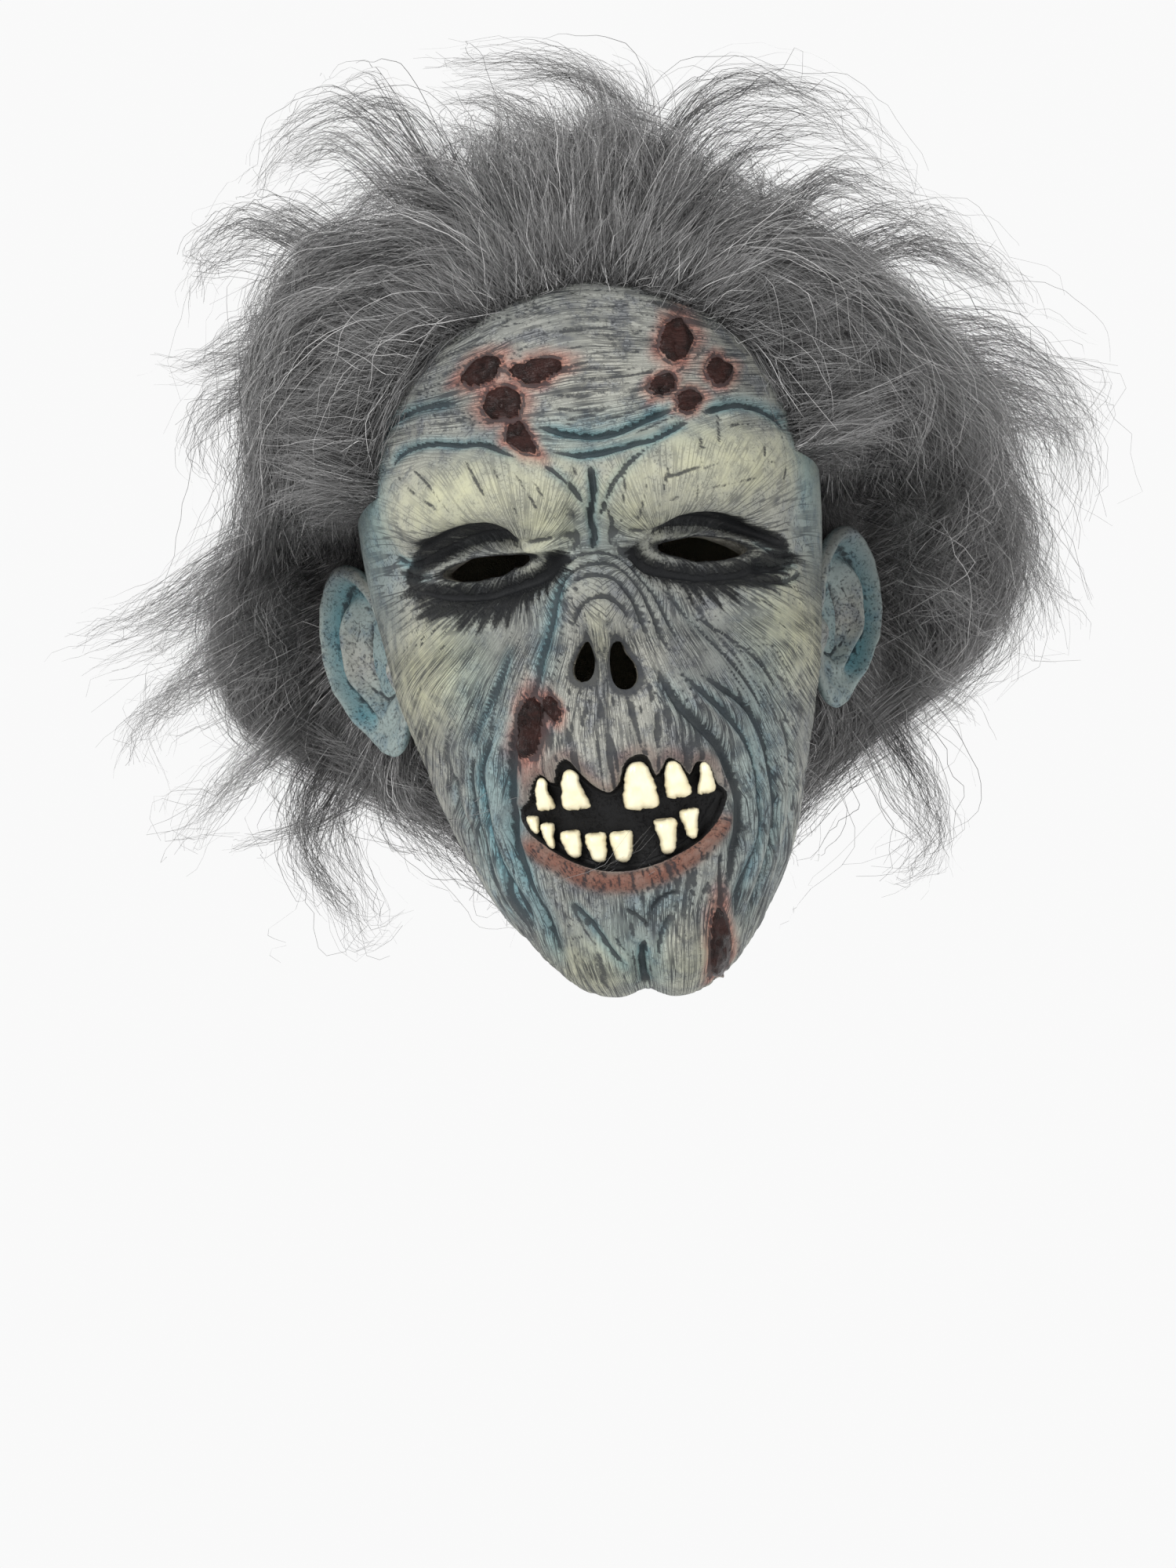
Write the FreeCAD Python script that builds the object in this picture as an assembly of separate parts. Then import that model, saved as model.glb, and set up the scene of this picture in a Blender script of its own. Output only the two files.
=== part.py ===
"""Over-the-head latex zombie mask with long grey fur hair, as one thin cast skin with its fitted pieces.

Frame, in millimetres: +Z up, the face looks along -Y, the wearer's left is +X.
The origin is the point inside the crown where the mask sits on the wearer's head.
"""
import FreeCAD
import Part

import math
import os

# ---- driving dimensions ----------------------------------------------------------------
WALL = 2.4               # latex wall
CROWN = WALL             # the wall stands on the origin, so the crown's outside is one wall up
CHIN_Z = -246.0          # lowest point of the chin
CHIN_DRIFT = 4.0         # the sculpt isn't even: the chin sits this far towards the wearer's left
EYE_Z = -112.5           # line between the two eye slits
EYE_SLIT = (28.0, 10.0)  # length and height of each slit
# Middle x and z of each eye slit and nostril, then the degrees that its +X end turns down.
EYE_SLITS = [(-32.3, -111.3, -5.5), (31.4, -113.6, 10.0)]
NOSTRILS = [(-8.0, -144.2, 12.0), (4.6, -146.6, -6.0)]
NOSTRIL_SIZES = [(6.6, 12.0), (8.4, 13.6)]   # width and height of each hole
MOUTH_Z = -193.0
MOUTH = (31.0, 15.0)     # half width and half height of the mouth's shallow recess
FRONT_SPAN = (-140.0, -50.0)  # y range of the holes' cutters, through the front wall only
EAR_CENTRE = (77.0, 1.0, -139.0)
EAR_RADII = (7.5, 16.0, 33.0)
EAR_FLARE = 38.0         # degrees that the ear's back edge stands away from the head
EAR_LEAN = 8.0           # degrees that the ear's top leans back
CONCHA_RADII = (5.0, 9.5, 19.0)
FUR_GAP = 0.3            # clear space between the hair and each ear
NECK_RADII = (68.0, 80.0)
NECK_Y = 0.0
PART_X = 42.0            # the centre hair panels reach this far either side
FRONT_SEAM_Y = -30.0     # seam between the front tuft and the crown panel
BACK_SEAM_Y = 48.0       # seam between the crown panel and the back panel

RING_POINTS = 52         # points round each section
FRONT_BIAS = 0.42        # how much closer the points stand on the face than on the back
FACE_ROUND = 2.35        # superellipse power of the front half of a section
BACK_ROUND = 2.05
STEPS_PER_ROW = 3        # sections made for each row of a profile table

# Sections of the head: height, half width, front, back, and the y of the widest point.
HEAD_ROWS = [
    (CROWN, 0.0, 5.0, 5.0, 5.0),
    (0.6, 16.0, -13.0, 23.0, 5.0),
    (-5.0, 32.0, -33.0, 44.0, 5.0),
    (-14.0, 46.0, -54.0, 63.0, 5.0),
    (-27.0, 57.5, -73.0, 79.0, 4.0),
    (-43.0, 65.5, -86.0, 90.5, 2.0),
    (-62.0, 70.5, -94.0, 98.0, 0.0),
    (-82.0, 73.0, -98.0, 100.5, -1.0),
    (-102.0, 72.8, -98.5, 98.5, -3.0),
    (-122.0, 70.5, -98.0, 91.5, -7.0),
    (-142.0, 67.0, -98.5, 82.0, -11.0),
    (-162.0, 62.5, -100.0, 71.0, -16.0),
    (-182.0, 57.5, -101.0, 59.0, -23.0),
    (-201.0, 51.0, -100.0, 43.0, -34.0),
    (-218.0, 42.0, -97.5, 19.0, -48.0),
    (-231.0, 32.5, -94.0, -12.0, -59.0),
    (-240.0, 22.5, -89.0, -40.0, -66.0),
    (-244.7, 11.5, -82.0, -60.0, -71.0),
    (CHIN_Z, 0.0, -73.0, -73.0, -73.0),
]

# Sections of the hair's outside, in the same five columns.
HAIR_ROWS = [
    (40.0, 0.0, 5.0, 5.0, 5.0),
    (37.0, 27.0, -20.0, 32.0, 5.0),
    (28.0, 56.0, -47.0, 62.0, 6.0),
    (12.0, 88.0, -73.0, 92.0, 8.0),
    (-10.0, 113.0, -92.0, 116.0, 10.0),
    (-38.0, 136.0, -99.0, 134.0, 14.0),
    (-72.0, 153.0, -97.0, 145.0, 18.0),
    (-108.0, 160.0, -91.0, 150.0, 22.0),
    (-142.0, 157.0, -85.0, 150.0, 24.0),
    (-172.0, 142.0, -78.0, 145.0, 26.0),
    (-196.0, 118.0, -66.0, 134.0, 28.0),
    (-213.0, 88.0, -42.0, 112.0, 31.0),
    (-221.0, 45.0, -8.0, 79.0, 34.0),
    (-223.0, 0.0, 34.0, 34.0, 34.0),
]

# Forms of the face, each a soft mound or hollow: x, z, spread in x, spread in z, height.
# A form off the middle is made on both sides.
FACE_FORMS = [
    (30.0, -91.0, 21.0, 9.5, 8.0),       # brow
    (0.0, -99.0, 7.0, 12.0, -2.0),       # furrow between the brows
    (33.0, -111.5, 18.0, 9.0, -9.5),     # eye socket
    (0.0, -132.0, 11.5, 17.0, 13.0),     # nose
    (6.0, -147.0, 6.0, 8.0, -3.0),       # sunken nose opening
    (47.0, -140.0, 15.0, 15.0, 6.0),     # cheekbone
    (43.0, -183.0, 11.0, 20.0, -4.5),    # hollow cheek
    (0.0, -181.0, 31.0, 25.0, 7.0),      # muzzle
    (0.0, -213.0, 24.0, 6.5, 3.0),       # lower lip
    (12.0, -232.0, 11.0, 8.5, 5.0),      # chin, one lobe each side
]

# Side view of the mask's lower edge, from under the chin to the nape: y, z.
EDGE_LINE = [(-160.0, -275.0), (-80.0, -264.0), (-54.0, -244.0), (-33.0, -216.0), (-10.0, -189.0),
             (16.0, -176.0), (48.0, -177.0), (78.0, -186.0), (170.0, -190.0)]

# Side view of the hair's front limit, from above the forehead down past the ear: y, z.
HAIR_LINE = [(-150.0, 70.0), (-104.0, 10.0), (-96.0, -24.0), (-80.0, -37.0), (-60.0, -62.0),
             (-40.0, -90.0), (-18.0, -110.0), (0.0, -126.0), (9.0, -150.0), (14.0, -190.0),
             (16.0, -240.0)]

# Teeth: x, z of the middle, width, height, sideways lean in degrees.
UPPER_TEETH = [(-23.0, -181.5, 6.2, 9.4, 6.0), (-13.8, -180.5, 8.8, 12.8, 5.0), (5.4, -181.5, 10.8, 15.4, 0.0),
               (16.4, -181.0, 8.0, 11.8, -4.0), (24.4, -182.0, 6.2, 9.2, -8.0)]
LOWER_TEETH = [(-27.4, -191.0, 3.8, 5.8, -14.0), (-23.2, -194.5, 4.8, 7.6, -12.0), (-17.0, -197.8, 6.6, 7.8, -9.0),
               (-9.8, -199.6, 6.8, 8.6, -4.0), (-2.1, -200.2, 7.2, 9.2, 1.0), (11.2, -198.6, 7.4, 10.2, 5.0),
               (18.6, -195.6, 6.6, 8.6, 12.0)]
TOOTH_DEPTH = 6.0        # how thick a tooth is before its back is shaped to the mouth
TOOTH_STANDS = 2.6       # how far its front stands out from the mouth
# Width of a tooth from its root to its biting edge, as shares of its full width.
TOOTH_PROFILE = [(0.0, 0.34), (0.12, 0.62), (0.4, 0.9), (0.68, 1.0), (0.88, 0.86), (1.0, 0.6)]


# ---- profile tables and sections -------------------------------------------------------
def station(rows, s):
    """The row at station s, a Catmull-Rom curve through the table's rows."""
    last = len(rows) - 1
    i = min(int(s), last - 1)
    t = s - i
    a, b, c, d = (rows[min(max(i + k, 0), last)] for k in (-1, 0, 1, 2))
    out = []
    for p0, p1, p2, p3 in zip(a, b, c, d):
        out.append(0.5 * (2 * p1 + (p2 - p0) * t + (2 * p0 - 5 * p1 + 4 * p2 - p3) * t * t
                          + (3 * p1 - p0 - 3 * p2 + p3) * t ** 3))
    return out


def ring_angle(k):
    """Angle of ring point k, 0 at the front, from one side round to the same side again."""
    even = 2 * math.pi * k / RING_POINTS - math.pi / 2
    return even - FRONT_BIAS * math.sin(even)


def oval(row, angle):
    """Point of one section: two half superellipses that share their widest line."""
    z, half, front, back, centre = row
    c, s = math.cos(angle), math.sin(angle)
    reach = centre - front if c > 0 else back - centre
    power = FACE_ROUND if c > 0 else BACK_ROUND
    if half < 1e-6:
        return FreeCAD.Vector(0, centre, z)
    radius = (abs(s / half) ** power + abs(c / max(reach, 1e-6)) ** power) ** (-1.0 / power)
    return FreeCAD.Vector(radius * s, centre - radius * c, z)


def face_relief(x, z):
    """How far the face's forms push the surface out at x, z."""
    total = 0.0
    for fx, fz, wide, tall, height in FACE_FORMS:
        for side in ((1, -1) if fx else (1,)):
            u, v = (x - side * fx) / wide, (z - fz) / tall
            total += height * math.exp(-0.5 * (u * u + v * v))
    u, v = x / MOUTH[0], (z - MOUTH_Z) / MOUTH[1]
    return total - 4.5 * math.exp(-((u * u + v * v) ** 2))


def frontness(angle):
    """1 over the face, fading to 0 past the temples."""
    t = min(max((math.cos(angle) - 0.05) / 0.5, 0.0), 1.0)
    return t * t * (3 - 2 * t)


def drift(z):
    """Sideways shift of the sculpt's middle line, from nothing at the eyes to the full shift at the chin."""
    t = max((EYE_Z - z) / (EYE_Z - CHIN_Z), 0.0)
    return CHIN_DRIFT * t * t


def head_point(s, angle):
    p = oval(station(HEAD_ROWS, s), angle)
    relief = face_relief(p.x, p.z) * frontness(angle)
    return FreeCAD.Vector(p.x + drift(p.z), p.y - relief, p.z)


def hair_point(s, angle):
    return oval(station(HAIR_ROWS, s), angle)


def inward(point, s, angle, depth):
    """The surface point moved along its inward normal."""
    e = 0.02
    along = point(s + e, angle) - point(s - e, angle)
    across = point(s, angle + e) - point(s, angle - e)
    normal = along.cross(across)
    normal.normalize()
    return point(s, angle) - normal * depth


def skin_solid(rows, point, depth=0.0):
    """Smooth closed solid through a table's sections, from its top point to its bottom point."""
    last = len(rows) - 1
    drop = FreeCAD.Vector(0, 0, depth)
    sections = [Part.Vertex(point(0.0, 0.0) - drop)]
    knots = [float(k) for k in range(RING_POINTS + 1)]
    for step in range(1, last * STEPS_PER_ROW):
        s = step / STEPS_PER_ROW
        ring = [inward(point, s, ring_angle(k), depth) if depth else point(s, ring_angle(k))
                for k in range(RING_POINTS)]
        curve = Part.BSplineCurve()
        curve.interpolate(Points=ring, PeriodicFlag=True, Parameters=knots)
        halfway = knots[-1] / 2
        sections.append(Part.Wire([curve.toShape(0, halfway), curve.toShape(halfway, knots[-1])]))
    sections.append(Part.Vertex(point(float(last), 0.0) + drop))
    return Part.makeLoft(sections, True)


def surface_at(x, z):
    """y of the face's surface at x, z, and the sideways turn of its normal in degrees."""
    x -= drift(z)
    s_low, s_high = 0.0, float(len(HEAD_ROWS) - 1)
    for _ in range(40):
        s = (s_low + s_high) / 2
        s_low, s_high = (s, s_high) if station(HEAD_ROWS, s)[0] > z else (s_low, s)
    a_low, a_high = 0.0, math.pi / 2
    for _ in range(40):
        a = (a_low + a_high) / 2
        a_low, a_high = (a, a_high) if head_point(s, a).x - drift(z) < abs(x) else (a_low, a)
    near, beside = head_point(s, a), head_point(s, a + 0.05)
    turn = math.degrees(math.atan2(beside.y - near.y, beside.x - near.x))
    return near.y, math.copysign(turn, x)


# ---- helpers ---------------------------------------------------------------------------
def ellipsoid(centre, radii, turn=0.0, lean=0.0):
    """Scaled sphere, leant about X and then turned about Z."""
    m = FreeCAD.Matrix()
    m.scale(*radii)
    m.rotateX(math.radians(lean))
    m.rotateZ(math.radians(turn))
    m.move(FreeCAD.Vector(*centre))
    return Part.makeSphere(1.0).transformGeometry(m)


def side_prism(line, corners, half_width=220.0):
    """Prism along X whose outline, in y and z, is a smooth line closed through the corners."""
    curve = Part.BSplineCurve()
    curve.interpolate([FreeCAD.Vector(-half_width, y, z) for y, z in line])
    ends = [FreeCAD.Vector(-half_width, y, z) for y, z in [line[-1], *corners, line[0]]]
    edges = [curve.toShape()] + [Part.LineSegment(a, b).toShape() for a, b in zip(ends, ends[1:])]
    face = Part.Face(Part.Wire(edges))
    return face.extrude(FreeCAD.Vector(2 * half_width, 0, 0))


def lens_prism(x, z, length, height, turn, y_from, y_to):
    """Prism along Y with an almond outline: two arcs that meet at the corners."""
    a, b = FreeCAD.Vector(-length / 2, y_from, 0), FreeCAD.Vector(length / 2, y_from, 0)
    top = FreeCAD.Vector(0, y_from, height * 0.55)
    low = FreeCAD.Vector(0, y_from, -height * 0.45)
    wire = Part.Wire([Part.Arc(a, top, b).toShape(), Part.Arc(b, low, a).toShape()])
    solid = Part.Face(wire).extrude(FreeCAD.Vector(0, y_to - y_from, 0))
    solid.rotate(FreeCAD.Vector(0, 0, 0), FreeCAD.Vector(0, 1, 0), turn)
    solid.translate(FreeCAD.Vector(x, 0, z))
    return solid


def oval_prism(x, z, width, height, turn, y_from, y_to):
    """Prism along Y with an upright oval outline."""
    ring = Part.Ellipse(FreeCAD.Vector(0, 0, 0), height / 2, width / 2).toShape()
    solid = Part.Face(Part.Wire(ring)).extrude(FreeCAD.Vector(0, 0, y_to - y_from))
    solid.rotate(FreeCAD.Vector(0, 0, 0), FreeCAD.Vector(0, 0, 1), 90)
    solid.rotate(FreeCAD.Vector(0, 0, 0), FreeCAD.Vector(1, 0, 0), -90)
    solid.rotate(FreeCAD.Vector(0, 0, 0), FreeCAD.Vector(0, 1, 0), turn)
    solid.translate(FreeCAD.Vector(x, y_from, z))
    return solid


# ---- pieces ----------------------------------------------------------------------------
def latex_skin(head):
    """The one-piece cast skin, open at the neck, the eyes and the nostrils."""
    skin = head.cut(skin_solid(HEAD_ROWS, head_point, WALL))
    skin = skin.cut(side_prism(EDGE_LINE, [(170.0, -300.0), (-160.0, -300.0)]))
    for x, z, turn in EYE_SLITS:
        skin = skin.cut(lens_prism(x, z, *EYE_SLIT, turn, *FRONT_SPAN))
    for (x, z, turn), (width, height) in zip(NOSTRILS, NOSTRIL_SIZES):
        skin = skin.cut(oval_prism(x, z, width, height, turn, *FRONT_SPAN))
    return skin


def ear(side, head, grow=0.0):
    """One ear, hollowed by its concha and cut to sit on the side of the head."""
    x, y, z = EAR_CENTRE
    radii = [r + grow for r in EAR_RADII]
    body = ellipsoid((side * x, y, z), radii, turn=-side * EAR_FLARE, lean=-EAR_LEAN)
    if not grow:
        scoop = (side * (x + 5.5), y - 5.0, z + 2.0)
        body = body.cut(ellipsoid(scoop, CONCHA_RADII, turn=-side * EAR_FLARE, lean=-EAR_LEAN))
        body = body.cut(head)
    return body


def tooth(x, z, width, height, lean, points_down, head):
    """One tooth, narrow at its root, with its back shaped to the mouth behind it."""
    y, turn = surface_at(x, z)
    sections = []
    for along, share in TOOTH_PROFILE:
        level = (0.5 - along) * height if points_down else (along - 0.5) * height
        ring = Part.Ellipse(FreeCAD.Vector(0, 0, 0), width / 2 * share, width / 2 * share * 0.999)
        flat = FreeCAD.Matrix()
        flat.scale(1.0, TOOTH_DEPTH / width, 1.0)
        flat.move(FreeCAD.Vector(0, 0, level))
        sections.append(Part.Wire(ring.toShape().transformGeometry(flat)))
    solid = Part.makeLoft(sections, True)
    solid.rotate(FreeCAD.Vector(0, 0, 0), FreeCAD.Vector(0, 1, 0), lean)
    solid.rotate(FreeCAD.Vector(0, 0, 0), FreeCAD.Vector(0, 0, 1), turn)
    solid.translate(FreeCAD.Vector(x, y + TOOTH_DEPTH / 2 - TOOTH_STANDS, z))
    return solid.cut(head)


def hair_mass(head):
    """The whole pile, from the scalp to its outside, open over the face, the ears and the neck."""
    mass = skin_solid(HAIR_ROWS, hair_point).cut(head)
    neck = Part.makeCylinder(1.0, 120.0)
    shape = FreeCAD.Matrix()
    shape.scale(NECK_RADII[0], NECK_RADII[1], 1.0)
    shape.move(FreeCAD.Vector(0, NECK_Y, -280.0))
    mass = mass.cut(neck.transformGeometry(shape))
    mass = mass.cut(side_prism(HAIR_LINE, [(-260.0, -240.0), (-260.0, 70.0)]))
    for side in (-1, 1):
        mass = mass.cut(ear(side, head, FUR_GAP))
    return mass


def hair_panels(mass):
    """The five fur panels: one over each side, and three along the middle."""
    def block(x0, x1, y0, y1):
        return Part.makeBox(x1 - x0, y1 - y0, 400.0, FreeCAD.Vector(x0, y0, -300.0))

    far = 260.0
    zones = {
        "right_fur_panel": block(-far, -PART_X, -far, far),
        "left_fur_panel": block(PART_X, far, -far, far),
        "front_fur_tuft": block(-PART_X, PART_X, -far, FRONT_SEAM_Y),
        "crown_fur_panel": block(-PART_X, PART_X, FRONT_SEAM_Y, BACK_SEAM_Y),
        "back_fur_panel": block(-PART_X, PART_X, BACK_SEAM_Y, far),
    }
    return {name: mass.common(zone) for name, zone in zones.items()}


def build():
    head = skin_solid(HEAD_ROWS, head_point)
    made = {"latex_skin": latex_skin(head), "right_ear": ear(-1, head), "left_ear": ear(1, head)}
    for i, (x, z, width, height, lean) in enumerate(UPPER_TEETH, 1):
        made[f"upper_tooth_{i}"] = tooth(x, z, width, height, lean, True, head)
    for i, (x, z, width, height, lean) in enumerate(LOWER_TEETH, 1):
        made[f"lower_tooth_{i}"] = tooth(x, z, width, height, lean, False, head)
    made.update(hair_panels(hair_mass(head)))
    return made


def main():
    os.makedirs("parts", exist_ok=True)
    for name, shape in build().items():
        solids = shape.Solids
        whole = solids[0] if len(solids) == 1 else Part.makeCompound(solids)
        box = whole.BoundBox
        print(f"{name}: solids {len(solids)} valid {whole.isValid()} volume {whole.Volume / 1000:.2f} cm3 "
              f"x {box.XMin:.1f}..{box.XMax:.1f} y {box.YMin:.1f}..{box.YMax:.1f} z {box.ZMin:.1f}..{box.ZMax:.1f}")
        whole.exportStep(f"parts/{name}.step")


main()
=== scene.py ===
import math

import bpy
import numpy as np
from mathutils import Matrix, Vector
from mathutils.bvhtree import BVHTree


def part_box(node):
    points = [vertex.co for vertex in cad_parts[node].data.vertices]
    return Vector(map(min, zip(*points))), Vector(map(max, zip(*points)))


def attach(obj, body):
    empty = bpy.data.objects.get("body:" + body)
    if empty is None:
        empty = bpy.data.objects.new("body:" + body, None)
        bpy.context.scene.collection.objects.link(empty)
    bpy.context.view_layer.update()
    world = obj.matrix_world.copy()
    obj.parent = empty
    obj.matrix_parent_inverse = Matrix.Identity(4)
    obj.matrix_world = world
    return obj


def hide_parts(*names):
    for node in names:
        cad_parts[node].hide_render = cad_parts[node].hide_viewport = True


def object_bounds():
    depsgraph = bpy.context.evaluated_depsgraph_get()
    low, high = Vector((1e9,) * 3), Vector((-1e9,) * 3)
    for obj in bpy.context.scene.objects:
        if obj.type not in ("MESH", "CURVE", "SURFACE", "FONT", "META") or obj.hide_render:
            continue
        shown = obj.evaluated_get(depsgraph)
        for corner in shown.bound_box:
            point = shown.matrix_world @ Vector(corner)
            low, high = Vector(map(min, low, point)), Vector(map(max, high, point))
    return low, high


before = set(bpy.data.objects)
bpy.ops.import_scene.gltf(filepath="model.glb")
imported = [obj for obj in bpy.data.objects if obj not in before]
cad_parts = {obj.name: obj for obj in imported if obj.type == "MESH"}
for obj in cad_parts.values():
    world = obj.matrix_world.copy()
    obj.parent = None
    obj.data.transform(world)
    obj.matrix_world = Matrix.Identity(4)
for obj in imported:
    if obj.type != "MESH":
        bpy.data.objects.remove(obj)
CAD_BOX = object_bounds()

# Looks for a latex zombie mask: painted latex skin, ears, teeth and long grey fur hair.
# Lengths in the tables are in millimetres, in the CAD frame: +Z up, the face looks along -Y,
# and the origin is in the crown. A turn is in degrees and lifts the +X end.

MM = 0.001
SEED = 31
FULL_TURN = 2 * math.pi
SCALP_CENTRE = np.array([0.0, -10.0, -120.0])   # every direction from here meets the skin once
WALL = 2.4                # thickness of the latex
FACE_STEP = 0.74          # spacing of the skin's mesh on the face
FACE_HALF_ANGLE = 1.22    # the finely meshed sector either side of the nose, in radians
SKIN_ROWS = 380           # rows of the skin's mesh from the crown to its lower edge
INNER_STRIDE = 4          # the inner side keeps one row in so many, and all of them beside a hole

# ---- numbers and noise ------------------------------------------------------------------


def smooth(x):
    """0 below 0, 1 above 1, and a smooth step between."""
    x = np.clip(x, 0.0, 1.0)
    return x * x * (3 - 2 * x)


def peak(value, middle, width):
    """1 where a value is at the middle, falling to 0 over a few widths."""
    return np.exp(-((value - middle) / width) ** 2)


def tapered(along, rate):
    """Fades out both ends of a line whose length runs from 0 to 1."""
    return smooth(along * rate) * smooth((1 - along) * rate)


def turned(x, z, cx, cz, turn):
    """Coordinates from a middle, along turned axes."""
    c, s = math.cos(math.radians(turn)), math.sin(math.radians(turn))
    return (x - cx) * c + (z - cz) * s, -(x - cx) * s + (z - cz) * c


def bell(x, z, cx, cz, wide, tall, turn=0.0):
    """Soft oval spot, 1 at its middle."""
    u, v = turned(x, z, cx, cz, turn)
    u, v = u / wide, v / tall
    return np.exp(-0.5 * (u * u + v * v))


def bells(x, z, spots):
    """Sum of soft oval spots, whose strengths come last."""
    return sum(strength * bell(x, z, *spot) for *spot, strength in spots)


def noise(u, v, seed):
    """Smooth noise between -1 and 1."""
    size = 64
    grid = np.random.default_rng(SEED + seed).uniform(-1, 1, (size, size))
    iu, iv = np.floor(u).astype(int), np.floor(v).astype(int)
    fu, fv = smooth(u - iu), smooth(v - iv)
    a, b = iu % size, iv % size
    c, d = (iu + 1) % size, (iv + 1) % size
    low = grid[a, b] * (1 - fu) + grid[c, b] * fu
    high = grid[a, d] * (1 - fu) + grid[c, d] * fu
    return low * (1 - fv) + high * fv


def cloud(u, v, seed):
    """Noise with finer noise on top."""
    return noise(u, v, seed) + 0.5 * noise(u * 2 + 7.3, v * 2 - 3.1, seed + 1)


def grooves(u, v, seed, sharp):
    """Lines that wander along u: 1 in the groove, 0 between."""
    return peak(noise(u, v, seed) + 0.45 * noise(u * 1.9, v * 2.3, seed + 11), 0, sharp)


def smooth_line(points, per_span=9):
    """A Catmull-Rom curve through the points."""
    p = np.asarray(points, float)
    p = np.vstack([2 * p[0] - p[1], p, 2 * p[-1] - p[-2]])
    t = np.linspace(0, 1, per_span, endpoint=False)[:, None]
    out = []
    for a, b, c, d in zip(p, p[1:], p[2:], p[3:]):
        out.append(0.5 * (2 * b + (c - a) * t + (2 * a - 5 * b + 4 * c - d) * t ** 2
                          + (3 * b - a - 3 * c + d) * t ** 3))
    return np.vstack(out + [p[-2:-1]])


def off_line(points, x, z, reach):
    """Distance, side and place along a smooth line for the points within reach of it."""
    line = smooth_line(points)
    low, high = line.min(0) - reach, line.max(0) + reach
    near = np.flatnonzero((x > low[0]) & (x < high[0]) & (z > low[1]) & (z < high[1]))
    px, pz = x[near], z[near]
    best = np.full(len(near), np.inf)
    side = np.zeros(len(near))
    along = np.zeros(len(near))
    for k, (a, b) in enumerate(zip(line, line[1:])):
        d = b - a
        t = np.clip(((px - a[0]) * d[0] + (pz - a[1]) * d[1]) / (d @ d), 0, 1)
        qx, qz = px - a[0] - t * d[0], pz - a[1] - t * d[1]
        dist = qx * qx + qz * qz
        closer = dist < best
        best[closer] = dist[closer]
        side[closer] = np.sign(d[0] * qz - d[1] * qx)[closer]
        along[closer] = ((k + t) / (len(line) - 1))[closer]
    return near, np.sqrt(best), side, along


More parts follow.
